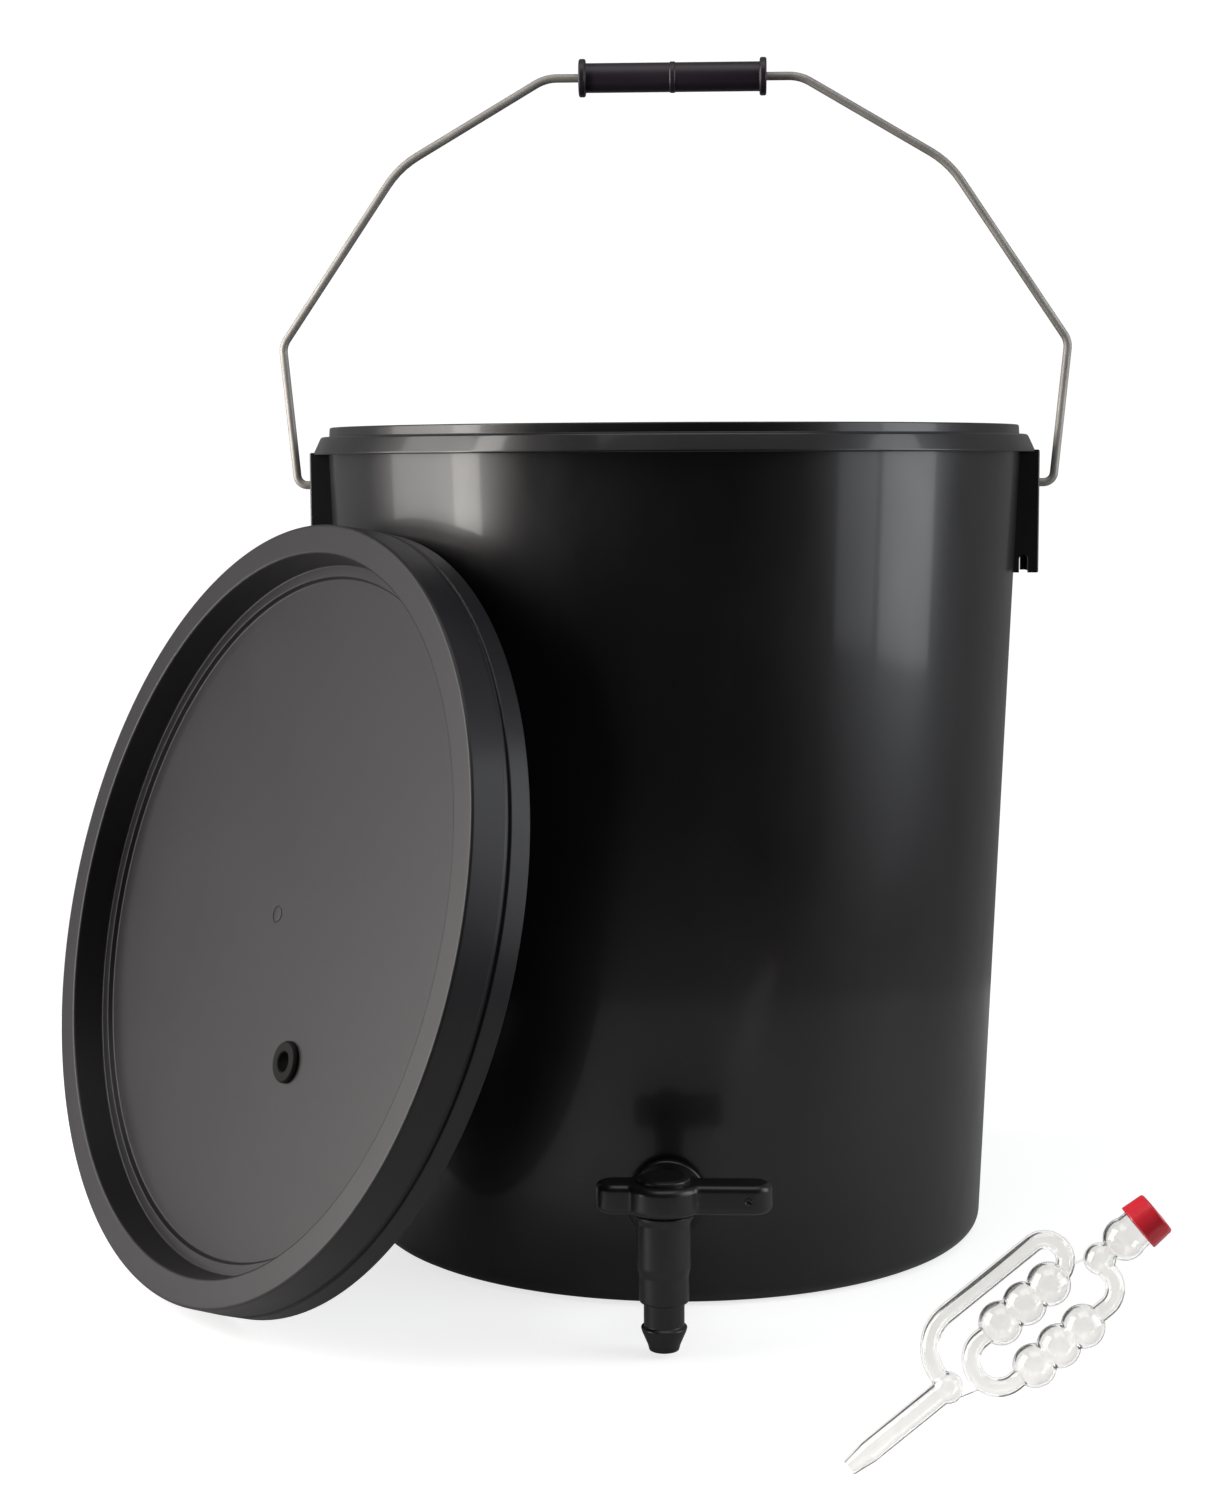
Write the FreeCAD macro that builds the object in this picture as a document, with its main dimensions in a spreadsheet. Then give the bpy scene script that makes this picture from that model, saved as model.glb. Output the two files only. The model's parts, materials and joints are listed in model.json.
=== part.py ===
import FreeCAD, Part
import math
import os
import re

import Sketcher

# A plastic fermenting bucket with its bail, tap, leaning lid and airlock.
# Millimetres. +Z is up. The origin is the middle of the bucket's base, on the floor.
# The tap faces -Y and the two ears of the bail lie on the X axis.

V = FreeCAD.Vector

# ---------------------------------------------------------------- driving sizes
# name, value, what it is
SIZES = [
    ("bucket_height", 387.0, "floor to the top of the rim lip"),
    ("wall_top_r", 165.6, "outside of the wall, carried up to the lip"),
    ("wall_draft", 16.2, "how much narrower the wall is at the floor"),
    ("wall_thick", 2.4, "bucket wall at its foot"),
    ("base_thick", 3.0, "bucket base panel"),
    ("base_ring_r", 118.0, "inner edge of the shallow ring under the base"),
    ("base_ring_wide", 5.0, "width of that ring"),
    ("base_ring_deep", 0.9, "depth of that ring"),
    ("base_round", 8.0, "outside rounding of the base"),
    ("inside_round", 5.5, "inside rounding of the base"),
    ("lip_set", 0.8, "lip drawn in from the wall"),
    ("lip_thick", 2.2, "thickness of the rim lip"),
    ("lip_tall", 4.4, "lip above the band's shoulder"),
    ("band_step", 3.0, "band's shoulder out from the wall"),
    ("band_flare", 3.9, "band's lower edge out from its shoulder"),
    ("band_drop", 12.7, "lip top down to the band's lower edge"),
    ("band_thick", 2.2, "thickness of the band"),
    ("band_round", 1.7, "rounding of the band's shoulder"),
    ("edge_round", 0.7, "small moulded edges of the bucket"),
    ("ear_tall", 57.0, "ear below the band"),
    ("ear_wide", 36.0, "ear along the rim"),
    ("ear_proud", 1.1, "ear's outer face out from the band"),
    ("ear_plate", 2.6, "thickness of the ear's plates"),
    ("ear_deep", 7.2, "ear's outer face to the inner side of its hollow"),
    ("slot_back", 2.0, "hollow's inner side back to the slot under each ear"),
    ("slot_wide", 4.2, "width of that slot"),
    ("slot_tall", 8.4, "height of that slot, to its rounded top"),
    ("pivot_drop", 27.2, "lip top down to the bail's pivot"),
    ("wire_r", 2.0, "bail wire radius"),
    ("wire_play", 0.06, "radial clearance of wire in ear and in grip"),
    ("wire_short", 1.6, "hollow's inner side out to the wire's end"),
    ("leg_gap", 8.4, "ear's outer face to the middle of the wire leg"),
    ("knee_flare", 6.4, "wire knee out from the leg"),
    ("knee_up", 67.0, "knee above the pivot"),
    ("shoulder_draw", 57.4, "wire shoulder in from the knee"),
    ("shoulder_up", 151.0, "shoulder above the pivot"),
    ("crook_past", 16.0, "last bend past the end of the grip"),
    ("crook_up", 192.0, "that bend, and the grip, above the pivot"),
    ("foot_bend", 5.0, "bend where the leg turns into the ear"),
    ("knee_bend", 10.0, "bend at the knee"),
    ("shoulder_bend", 45.0, "bend at the shoulder"),
    ("crook_bend", 20.0, "bend at the crook"),
    ("grip_long", 89.0, "grip length"),
    ("grip_r", 6.9, "grip radius"),
    ("grip_flange_r", 8.9, "radius of the grip's end flanges"),
    ("grip_flange_long", 3.2, "length of each end flange"),
    ("grip_ring_r", 7.3, "faint ring round the grip's middle"),
    ("skirt_proud", 0.7, "lid's skirt out from its upper band"),
    ("lid_play", 0.2, "room between the lid's skirt and the rim band"),
    ("lid_deep", 27.0, "depth of the lid's skirt"),
    ("lid_band_deep", 15.0, "depth of the upper band"),
    ("lid_slope", 1.6, "how far the upper band draws in towards the face"),
    ("lid_groove", 2.4, "groove between the two bands"),
    ("lid_groove_deep", 1.1, "depth of that groove"),
    ("lid_thick", 2.0, "thickness of the lid"),
    ("rim_play", 0.6, "room between the lid's inner wall and the rim lip"),
    ("well_draft", 2.0, "how far the lid's inner wall draws in"),
    ("lid_well_deep", 17.0, "recess of the lid's panel"),
    ("step_in", 6.0, "step ring in from the inner wall"),
    ("lid_step_tall", 2.4, "height of that step"),
    ("lid_gate_r", 4.0, "round mark in the lid's middle"),
    ("grommet_wall", 2.8, "grommet's wall in the lid's hole"),
    ("lid_hole_x", 36.0, "hole's middle across the lid"),
    ("lid_hole_y", -60.0, "hole's middle along the lid"),
    ("lid_turn", 52.0, "degrees from the front round to the left, to the lid"),
    ("lid_lean", 15.0, "degrees the lid leans back on the wall"),
    ("lid_gap", 0.5, "gap where the lid's edge meets the wall"),
    ("lid_below", 20.0, "least drop from the band to the top of the leaning lid"),
    ("grommet_lap", 2.0, "grommet flange over the hole's edge"),
    ("grommet_flange", 2.6, "thickness of each grommet flange"),
    ("grommet_lead", 0.5, "lead-in at each end of the bore"),
    ("tap_up", 50.0, "tap's inlet axis above the floor"),
    ("tail_play", 0.5, "room between the tail and the hole in the wall"),
    ("tail_r", 13.2, "threaded tail of the tap"),
    ("way_step", 0.8, "water way over the plug's hollow"),
    ("tail_past", 22.2, "tail behind the backnut's face"),
    ("thread_pitch", 2.4, "spacing of the thread"),
    ("thread_deep", 0.7, "depth of the thread"),
    ("collar_gap", 3.107, "wall to the back of the collar, for the washer"),
    ("collar_lap", 4.8, "collar out from the tail"),
    ("collar_thick", 4.0, "collar thickness"),
    ("neck_wall", 3.4, "wall of the neck"),
    ("barrel_reach", 58.4, "back of the collar to the plug's axis"),
    ("barrel_wall", 2.35, "wall of the barrel"),
    ("barrel_flare", 1.2, "small flare at the barrel's top"),
    ("barrel_rise", 2.0, "barrel's top above the seal ring"),
    ("step_wide", 2.0, "spout out from the hose tail"),
    ("spout_step", 27.0, "inlet axis down to the step"),
    ("tip_wall", 1.4, "wall of the tip"),
    ("hose_r", 8.5, "hose tail radius under the step"),
    ("barb_proud", 1.2, "barb out from the hose tail"),
    ("barb_up", 12.0, "barb's edge above the floor"),
    ("tip_draft", 2.1, "tip in from the hose tail"),
    ("tip_up", 2.4, "tip above the floor"),
    ("plug_r", 9.0, "plug radius"),
    ("plug_play", 0.05, "radial clearance of the plug in the barrel"),
    ("plug_wall", 2.6, "wall of the plug"),
    ("plug_lap", 1.4, "plug's foot below the water way"),
    ("plug_shelf", 0.5, "gap under the plug"),
    ("lever_gap", 0.6, "gap between barrel and lever"),
    ("lever_tall", 12.6, "height of the lever"),
    ("lever_wide", 16.0, "width of the lever bar"),
    ("lever_short", 28.5, "short arm of the lever"),
    ("lever_long", 45.0, "long arm of the lever"),
    ("hub_r", 16.0, "round hub of the lever"),
    ("cap_disc_r", 11.0, "raised disc on the hub"),
    ("cap_disc_tall", 2.4, "height of the raised disc"),
    ("corner_round", 3.0, "corners between the lever's hub and its bar"),
    ("lever_round", 3.0, "rounding of the lever"),
    ("seal_r", 0.86, "seal ring section radius"),
    ("seal_rise", 1.8, "seal ring above the water way"),
    ("washer_set", 0.8, "washer in from the collar's edge"),
    ("washer_play", 0.15, "room between washer and tail"),
    ("seat_gap", 0.08, "gap between a washer and the wall"),
    ("nut_gap", 2.82, "wall to the backnut's face, for the washer"),
    ("nut_thick", 9.0, "backnut thickness"),
    ("nut_wall", 4.3, "backnut's flats out from the tail"),
    ("nut_lap", 6.4, "backnut's flange out from the tail"),
    ("nut_flange", 2.4, "backnut flange thickness"),
    ("nut_play", 0.08, "gap between nut and tail"),
    ("air_x", 71.0, "airlock stem tip, across"),
    ("air_front", 128.0, "airlock stem tip in front of the plug's axis"),
    ("air_lean", 49.5, "degrees the airlock leans to the right"),
    ("air_tilt", 15.0, "degrees the airlock tilts back"),
    ("air_face", -6.0, "degrees the airlock is turned"),
    ("air_stem", 46.7, "stem tip below the first bulb"),
    ("air_stem_r", 4.4, "stem radius"),
    ("air_tip_draft", 1.2, "how much the stem narrows at its tip"),
    ("air_tip_long", 9.0, "narrowed end of the stem"),
    ("air_tube_r", 3.5, "tube radius"),
    ("air_wall", 1.0, "thickness of the airlock"),
    ("air_bulb_proud", 1.5, "small bulbs out from the stem"),
    ("air_bubble_r", 8.1, "chambers"),
    ("air_first", 30.0, "first chamber above the first bulb"),
    ("air_pitch", 11.4, "spacing of the chambers"),
    ("air_left", -6.0, "left column of chambers"),
    ("air_right", 13.3, "right column of chambers"),
    ("air_inlet", -20.8, "inlet tube"),
    ("air_inlet_bend", 16.0, "wide bend of the inlet tube"),
    ("air_outlet_bend", 8.5, "bend of the outlet tube"),
    ("air_mid", -1.5, "second bulb, cup and cap, across"),
    ("air_top_bulb", 73.2, "second bulb above the first"),
    ("air_cup", 84.8, "cup's middle above the first bulb"),
    ("air_cup_r", 7.9, "cup radius"),
    ("air_mouth", 98.6, "cup's mouth above the first bulb"),
    ("air_mouth_r", 7.2, "mouth's outside radius"),
    ("air_strand_r", 0.4, "thin moulded strands between the tubes"),
    ("cap_wall", 1.6, "wall of the cap at its rim"),
    ("cap_draft", 0.7, "how far the cap narrows to its top"),
    ("cap_tall", 9.2, "cap height"),
    ("cap_roof", 1.4, "thickness of the cap's top"),
    ("cap_play", 0.3, "gap between cap and cup"),
    ("cap_vent_r", 0.7, "vent holes of the cap"),
]

doc = FreeCAD.newDocument("fermenting_bucket")
sheet = doc.addObject("Spreadsheet::Sheet", "Sizes")
for row, (alias, value, note) in enumerate(SIZES, start=1):
    sheet.set("A%d" % row, alias)
    sheet.set("B%d" % row, str(value))
    sheet.set("C%d" % row, note)
    sheet.setAlias("B%d" % row, alias)
doc.recompute()


# ---------------------------------------------------------------- sizes that follow from others
def wall_out(height):
    """Expression for the wall's outer radius at a height expression."""
    return "(@wall_foot_r + (@wall_top_r - @wall_foot_r) * (%s) / @bucket_height)" % height


def wall_in(height):
    """Expression for the wall's inner radius, a straight line carried on down to the floor."""
    low = "(" + wall_out("@base_thick") + " - @wall_thick)"
    high = "(@lip_r - @lip_thick)"
    share = "((%s) - @base_thick) / (@bucket_height - @base_thick)" % height
    return "(" + low + " + (" + high + " - " + low + ") * " + share + ")"


# name, expression, what it is
FITS = [
    ("wall_foot_r", "@wall_top_r - @wall_draft", "outside of the wall, carried down to the floor"),
    ("lip_r", "@wall_top_r - @lip_set", "outside of the rim lip"),
    ("band_top_r", "@wall_top_r + @band_step", "shoulder of the rim band"),
    ("band_r", "@band_top_r + @band_flare", "lower edge of the rim band"),
    ("ear_out", "@band_r + @ear_proud", "outer face of the ear from the axis"),
    ("ear_floor", "@ear_out - @ear_deep", "inner side of the ear's hollow"),
    ("slot_in", "@ear_floor - @slot_back", "inner side of the slot under each ear"),
    ("wire_end", "@ear_floor + @wire_short", "end of the wire inside the ear"),
    ("leg_out", "@ear_out + @leg_gap", "wire leg from the axis, at the pivot"),
    ("knee_out", "@leg_out + @knee_flare", "wire knee from the axis"),
    ("shoulder_out", "@knee_out - @shoulder_draw", "wire shoulder from the axis"),
    ("crook_out", "@grip_long / 2 + @crook_past", "last bend before the grip"),
    ("lid_band_r", "@band_r + @lid_play + @lid_thick", "outside of the lid's upper band"),
    ("lid_r", "@lid_band_r + @skirt_proud", "outside of the lid's skirt"),
    ("lid_ring_r", "@lip_r - @lip_thick - @rim_play - @lid_thick", "inner edge of the lid's outer ring"),
    ("lid_well_r", "@lid_ring_r - @well_draft", "radius at the foot of the lid's inner wall"),
    ("lid_step_r", "@lid_well_r - @step_in", "step ring on the panel"),
    ("grommet_bore_r", "@air_stem_r", "bore for the airlock's stem"),
    ("lid_hole_r", "@grommet_bore_r + @grommet_wall", "hole for the grommet"),
    ("grommet_r", "@lid_hole_r + @grommet_lap", "grommet flange radius"),
    ("plug_bore_r", "@plug_r - @plug_wall", "hollow of the plug"),
    ("tail_bore_r", "@plug_bore_r + @way_step", "water way through the tail"),
    ("plug_drop", "@tail_bore_r + @plug_lap", "inlet axis down to the plug's foot"),
    ("seal_up", "@tail_bore_r + @seal_rise", "seal ring above the inlet axis"),
    ("barrel_top", "@seal_up + @barrel_rise", "barrel's top above the inlet axis"),
    ("barrel_r", "@plug_r + @plug_play + @barrel_wall", "barrel radius"),
    ("neck_r", "@tail_bore_r + @neck_wall", "neck between collar and barrel"),
    ("tap_hole_r", "@tail_r + @tail_play", "hole in the wall for the tap"),
    ("collar_r", "@tail_r + @collar_lap", "collar radius"),
    ("washer_r", "@collar_r - @washer_set", "washer radius"),
    ("washer_hole_r", "@tail_r + @washer_play", "washer hole radius"),
    ("nut_flat", "@tail_r + @nut_wall", "backnut centre to flat"),
    ("nut_flange_r", "@tail_r + @nut_lap", "backnut flange radius"),
    ("collar_back", wall_out("@tap_up") + " + @collar_gap", "back of the tap's collar from the axis"),
    ("nut_face", wall_in("@tap_up") + " - @nut_gap", "backnut's face from the axis"),
    ("tail_in", "@nut_face - @tail_past", "inner end of the tail from the axis"),
    ("barrel_out", "@collar_back + @barrel_reach", "plug axis from the bucket's axis"),
    ("spout_r", "@hose_r + @step_wide", "spout radius"),
    ("barb_r", "@hose_r + @barb_proud", "hose barb radius"),
    ("tip_r", "@hose_r - @tip_draft", "radius of the tip"),
    ("spout_bore_r", "@tip_r - @tip_wall", "bore of the spout"),
    ("air_y", "-(@barrel_out + @air_front)", "airlock stem tip, front"),
    ("air_tip_r", "@air_stem_r - @air_tip_draft", "stem radius at the tip"),
    ("air_bulb_r", "@air_stem_r + @air_bulb_proud", "small bulbs"),
    ("cap_r", "@air_mouth_r + @cap_play + @cap_wall", "cap radius at its rim"),
]
FIT_NAMES = [name for name, text, note in FITS]


def bound(text):
    """Turn marked words into an expression: '@band_r - @band_thick' reads the fits and the sheet."""
    def owner(word):
        place = "Fits." if word.group(1) in FIT_NAMES else "Sizes."
        return place + word.group(1)
    return re.sub(r"@(\w+)", owner, text)


fits = doc.addObject("App::VarSet", "Fits")
for name, text, note in FITS:
    fits.addProperty("App::PropertyFloat", name, "Fits", note)
for name, text, note in FITS:
    fits.setExpression(name, bound(text))
doc.recompute()


def size(name):
    """The value of one size, from the sheet or from the fits, in millimetres."""
    return float(getattr(fits, name) if name in FIT_NAMES else sheet.get(name))


# ---------------------------------------------------------------- helpers
def new_body(name):
    body = doc.addObject("PartDesign::Body", name)
    body.Label = name
    return body


def plane_of(body, role):
    for item in body.Origin.OriginFeatures:
        if item.Role == role:
            return item
    raise RuntimeError("no plane " + role)


def new_sketch(body, name, role, height=None):
    """A sketch on one of the body's own planes, raised along its normal by an expression."""
    sketch = body.newObject("Sketcher::SketchObject", name)
    sketch.AttachmentSupport = [(plane_of(body, role), "")]
    sketch.MapMode = "FlatFace"
    if height is not None:
        sketch.setExpression("AttachmentOffset.Base.z", bound(height))
    return sketch


def pin_point(sketch, geo, pos, across, up):
    """Hold one point of a sketch at an expression across and an expression up."""
    for kind, text in (("DistanceX", across), ("DistanceY", up)):
        here = sketch.getPoint(geo, pos)
        now = here.x if kind == "DistanceX" else here.y
        index = sketch.addConstraint(Sketcher.Constraint(kind, -1, 1, geo, pos, now))
        sketch.setExpression("Constraints[%d]" % index, bound(text))


def add_outline(sketch, corners):
    """A closed outline of straight lines whose corners are expression pairs."""
    count = len(corners)
    first = sketch.GeometryCount
    spots = []
    for index in range(count):
        angle = 2.0 * math.pi * index / count
        spots.append(V(60.0 + 40.0 * math.cos(angle), 60.0 + 40.0 * math.sin(angle), 0))
    for index in range(count):
        line = Part.LineSegment(spots[index], spots[(index + 1) % count])
        sketch.addGeometry(line, False)
    for index in range(count):
        after = first + (index + 1) % count
        sketch.addConstraint(Sketcher.Constraint("Coincident", first + index, 2, after, 1))
    for index, (across, up) in enumerate(corners):
        pin_point(sketch, first + index, 1, across, up)


def add_circle(sketch, across, up, radius):
    geo = sketch.addGeometry(Part.Circle(V(5, 5, 0), V(0, 0, 1), 4.0), False)
    pin_point(sketch, geo, 3, across, up)
    index = sketch.addConstraint(Sketcher.Constraint("Radius", geo, 4.0))
    sketch.setExpression("Constraints[%d]" % index, bound(radius))


def revolve(body, name, sketch, axis, cut=False):
    kind = "PartDesign::Groove" if cut else "PartDesign::Revolution"
    feature = body.newObject(kind, name)
    feature.Profile = sketch
    feature.ReferenceAxis = (sketch, [axis])
    feature.Angle = 360.0
    sketch.Visibility = False
    return feature


def pad(body, name, sketch, length, reverse=False, midplane=False):
    feature = body.newObject("PartDesign::Pad", name)
    feature.Profile = sketch
    feature.setExpression("Length", bound(length))
    feature.Reversed = reverse
    feature.Midplane = midplane
    return feature


def pocket(body, name, sketch, length, reverse=False):
    """Cut a sketch into the body, and make sure that it took material away."""
    doc.recompute()
    before = body.Shape.Volume
    feature = body.newObject("PartDesign::Pocket", name)
    feature.Profile = sketch
    feature.setExpression("Length", bound(length))
    feature.Reversed = reverse
    doc.recompute()
    if body.Shape.Volume >= before - 1e-3:
        raise RuntimeError(name + " cuts nothing")
    return feature


def mirror(body, name, features, role):
    feature = body.newObject("PartDesign::Mirrored", name)
    feature.Originals = features
    feature.MirrorPlane = (plane_of(body, role), [""])
    body.Tip = feature
    doc.recompute()
    return feature


def ring_edges(shape, axis, tests):
    """Names of full circles about an axis whose (radius, height) is close to a pair."""
    names = []
    for index, edge in enumerate(shape.Edges, start=1):
        curve = edge.Curve
        if not isinstance(curve, Part.Circle):
            continue
        if abs(abs(curve.Axis.dot(axis)) - 1.0) > 1e-6:
            continue
        height = curve.Center.dot(axis)
        for radius, level in tests:
            if abs(curve.Radius - radius) < 0.02 and abs(height - level) < 0.02:
                names.append("Edge%d" % index)
    return names


def round_edges(body, name, names, radius):
    if not names:
        raise RuntimeError(name + " found no edge")
    base = body.Tip
    feature = body.newObject("PartDesign::Fillet", name)
    feature.Base = (base, names)
    feature.setExpression("Radius", bound(radius))
    doc.recompute()
    return feature


X_AXIS = V(1, 0, 0)
Y_AXIS = V(0, 1, 0)
Z_AXIS = V(0, 0, 1)
PIVOT = "@bucket_height - @pivot_drop"


def wall_radius(height):
    """The wall's outer radius at a height in millimetres."""
    rise = size("wall_top_r") - size("wall_foot_r")
    return size("wall_foot_r") + rise * height / size("bucket_height")


# ---------------------------------------------------------------- bucket
def make_bucket():
    body = new_body("bucket_shell")
    band_low = "(@bucket_height - @band_drop)"
    band_high = "(@bucket_height - @lip_tall)"
    under = "(@bucket_height - @lip_tall - @band_thick)"
    outline = new_sketch(body, "bucket_outline", "XZ_Plane")
    add_outline(outline, [
        ("0", "0"),
        ("@base_ring_r", "0"),
        ("@base_ring_r + 0.8", "@base_ring_deep"),
        ("@base_ring_r + @base_ring_wide - 0.8", "@base_ring_deep"),
        ("@base_ring_r + @base_ring_wide", "0"),
        ("@wall_foot_r", "0"),
        (wall_out(under), under),
        ("@band_top_r - @band_thick", under),
        ("@band_r - @band_thick", band_low),
        ("@band_r", band_low),
        ("@band_top_r", band_high),
        ("@lip_r", band_high),
        ("@lip_r - 0.3", "@bucket_height"),
        ("0", "@bucket_height"),
    ])
    doc.recompute()
    revolve(body, "bucket_turned", outline, "V_Axis")
    doc.recompute()
    foot = ring_edges(body.Shape, Z_AXIS, [(size("wall_foot_r"), 0.0)])
    round_edges(body, "base_rounding", foot, "@base_round")

    # the two ears hang under the band, solid until the inside is cut
    ears = new_sketch(body, "ear_blocks", "XY_Plane", band_low)
    for side in ("", "-"):
        add_outline(ears, [
            (side + "(@ear_floor - 12)", "-@ear_wide / 2"),
            (side + "@ear_out", "-@ear_wide / 2"),
            (side + "@ear_out", "@ear_wide / 2"),
            (side + "(@ear_floor - 12)", "@ear_wide / 2"),
        ])
    doc.recompute()
    pad(body, "ears", ears, "@ear_tall", reverse=True)
    tops = new_sketch(body, "ear_tops", "XY_Plane", band_low)
    for side in ("", "-"):
        add_outline(tops, [
            (side + "(@ear_floor - 12)", "-@ear_wide / 2"),
            (side + "(@band_r - @band_thick / 2)", "-@ear_wide / 2"),
            (side + "(@band_r - @band_thick / 2)", "@ear_wide / 2"),
            (side + "(@ear_floor - 12)", "@ear_wide / 2"),
        ])
    doc.recompute()
    pad(body, "ear_roots", tops, "2.0")
    doc.recompute()

    inside = new_sketch(body, "inside_outline", "XZ_Plane")
    add_outline(inside, [
        ("0", "@base_thick"),
        (wall_out("@base_thick") + " - @wall_thick", "@base_thick"),
        ("@lip_r - @lip_thick", "@bucket_height"),
        ("@lip_r - @lip_thick", "@bucket_height + 5"),
        ("0", "@bucket_height + 5"),
    ])
    doc.recompute()
    before = body.Shape.Volume
    revolve(body, "inside_turned", inside, "V_Axis", cut=True)
    doc.recompute()
    if body.Shape.Volume >= before * 0.9:
        raise RuntimeError("the inside is not cut")
    floor_at = size("base_thick")
    corner = wall_radius(floor_at) - size("wall_thick")
    names = ring_edges(body.Shape, Z_AXIS, [(corner, floor_at)])
    round_edges(body, "inside_rounding", names, "@inside_round")

    # hollow of each ear, open downwards, then the hole for the wire
    hollow = new_sketch(body, "ear_hollows", "XY_Plane", band_low + " - @ear_tall")
    for side in ("", "-"):
        add_outline(hollow, [
            (side + "@ear_floor", "-(@ear_wide / 2 - @ear_plate)"),
            (side + "(@ear_out - @ear_plate)", "-(@ear_wide / 2 - @ear_plate)"),
            (side + "(@ear_out - @ear_plate)", "@ear_wide / 2 - @ear_plate"),
            (side + "@ear_floor", "@ear_wide / 2 - @ear_plate"),
        ])
    pocket(body, "ear_pockets", hollow, "@ear_tall - @ear_plate", reverse=True)
    hole = new_sketch(body, "wire_hole", "YZ_Plane", "@ear_out + 1")
    add_circle(hole, "0", PIVOT, "@wire_r + @wire_play")
    right = pocket(body, "wire_hole_right", hole, "@ear_plate + 2")
    mirror(body, "wire_hole_left", [right], "YZ_Plane")

    # a round-topped slot across the foot of each ear parts its outer prong from the wall
    foot_up = band_low + " - @ear_tall"
    round_up = foot_up + " + @slot_tall - @slot_wide / 2"
    slots = new_sketch(body, "ear_slots", "XZ_Plane", "@ear_wide / 2 + 1")
    domes = new_sketch(body, "ear_slot_tops", "XZ_Plane", "@ear_wide / 2 + 1")
    for side in ("", "-"):
        add_outline(slots, [
            (side + "@slot_in", foot_up + " - 1"),
            (side + "(@slot_in + @slot_wide)", foot_up + " - 1"),
            (side + "(@slot_in + @slot_wide)", round_up),
            (side + "@slot_in", round_up),
        ])
        add_circle(domes, side + "(@slot_in + @slot_wide / 2)", round_up, "@slot_wide / 2")
    pocket(body, "ear_slots_cut", slots, "@ear_wide + 2")
    pocket(body, "ear_slot_tops_cut", domes, "@ear_wide + 2")

    # hole for the tap, low in the front wall
    bore = new_sketch(body, "tap_hole", "XZ_Plane", "@wall_foot_r / 2")
    add_circle(bore, "0", "@tap_up", "@tap_hole_r")
    pocket(body, "tap_hole_cut", bore, "@wall_foot_r", reverse=True)

    top = size("bucket_height")
    lip = ring_edges(body.Shape, Z_AXIS, [
        (size("lip_r") - 0.3, top),
        (size("lip_r") - size("lip_thick"), top),
    ])
    round_edges(body, "rim_rounding", lip, "@edge_round")
    shoulder = ring_edges(body.Shape, Z_AXIS, [(size("band_top_r"), top - size("lip_tall"))])
    round_edges(body, "shoulder_rounding", shoulder, "@band_round")
    return body


# ---------------------------------------------------------------- bail
def make_bail_wire():
    body = new_body("bail_wire")
    bends = [
        ("leg_out", None, "foot_bend"),
        ("knee_out", "knee_up", "knee_bend"),
        ("shoulder_out", "shoulder_up", "shoulder_bend"),
        ("crook_out", "crook_up", "crook_bend"),
    ]
    half = [("wire_end", None)] + [(out, up) for out, up, _ in bends]
    points = []
    for sign, run in ((-1, half), (1, list(reversed(half)))):
        for out, up in run:
            points.append((sign, out, up))
    path = new_sketch(body, "wire_path", "XZ_Plane")
    spots = [V(sign * size(out), size(up) if up else 0.0, 0) for sign, out, up in points]
    for start, end in zip(spots, spots[1:]):
        path.addGeometry(Part.LineSegment(start, end), False)
    last = len(spots) - 2
    for index in range(last):
        path.addConstraint(Sketcher.Constraint("Coincident", index, 2, index + 1, 1))
    for index, (sign, out, up) in enumerate(points):
        across = ("-@" if sign < 0 else "@") + out
        height = "@" + up if up else "0"
        if index <= last:
            pin_point(path, index, 1, across, height)
        else:
            pin_point(path, last, 2, across, height)
    doc.recompute()
    radii = [bend for _, _, bend in bends]
    radii = radii + list(reversed(radii))
    for corner, bend in enumerate(radii):
        before = path.Geometry[corner]
        after = path.Geometry[corner + 1]
        path.fillet(corner, corner + 1, (before.StartPoint + before.EndPoint) * 0.5,
                    (after.StartPoint + after.EndPoint) * 0.5, size(bend), True, True)
        arc = path.GeometryCount - 1
        while not isinstance(path.Geometry[arc], Part.ArcOfCircle):
            arc -= 1
        index = path.addConstraint(Sketcher.Constraint("Radius", arc, size(bend)))
        path.setExpression("Constraints[%d]" % index, bound("@" + bend))
    doc.recompute()
    section = new_sketch(body, "wire_section", "YZ_Plane", "-@wire_end")
    add_circle(section, "0", "0", "@wire_r")
    doc.recompute()
    pipe = body.newObject("PartDesign::AdditivePipe", "wire_bent")
    pipe.Profile = section
    pipe.Spine = (path, [])
    pipe.Mode = "Frenet"
    body.setExpression("Placement.Base.z", bound(PIVOT))
    doc.recompute()
    return body


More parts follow.
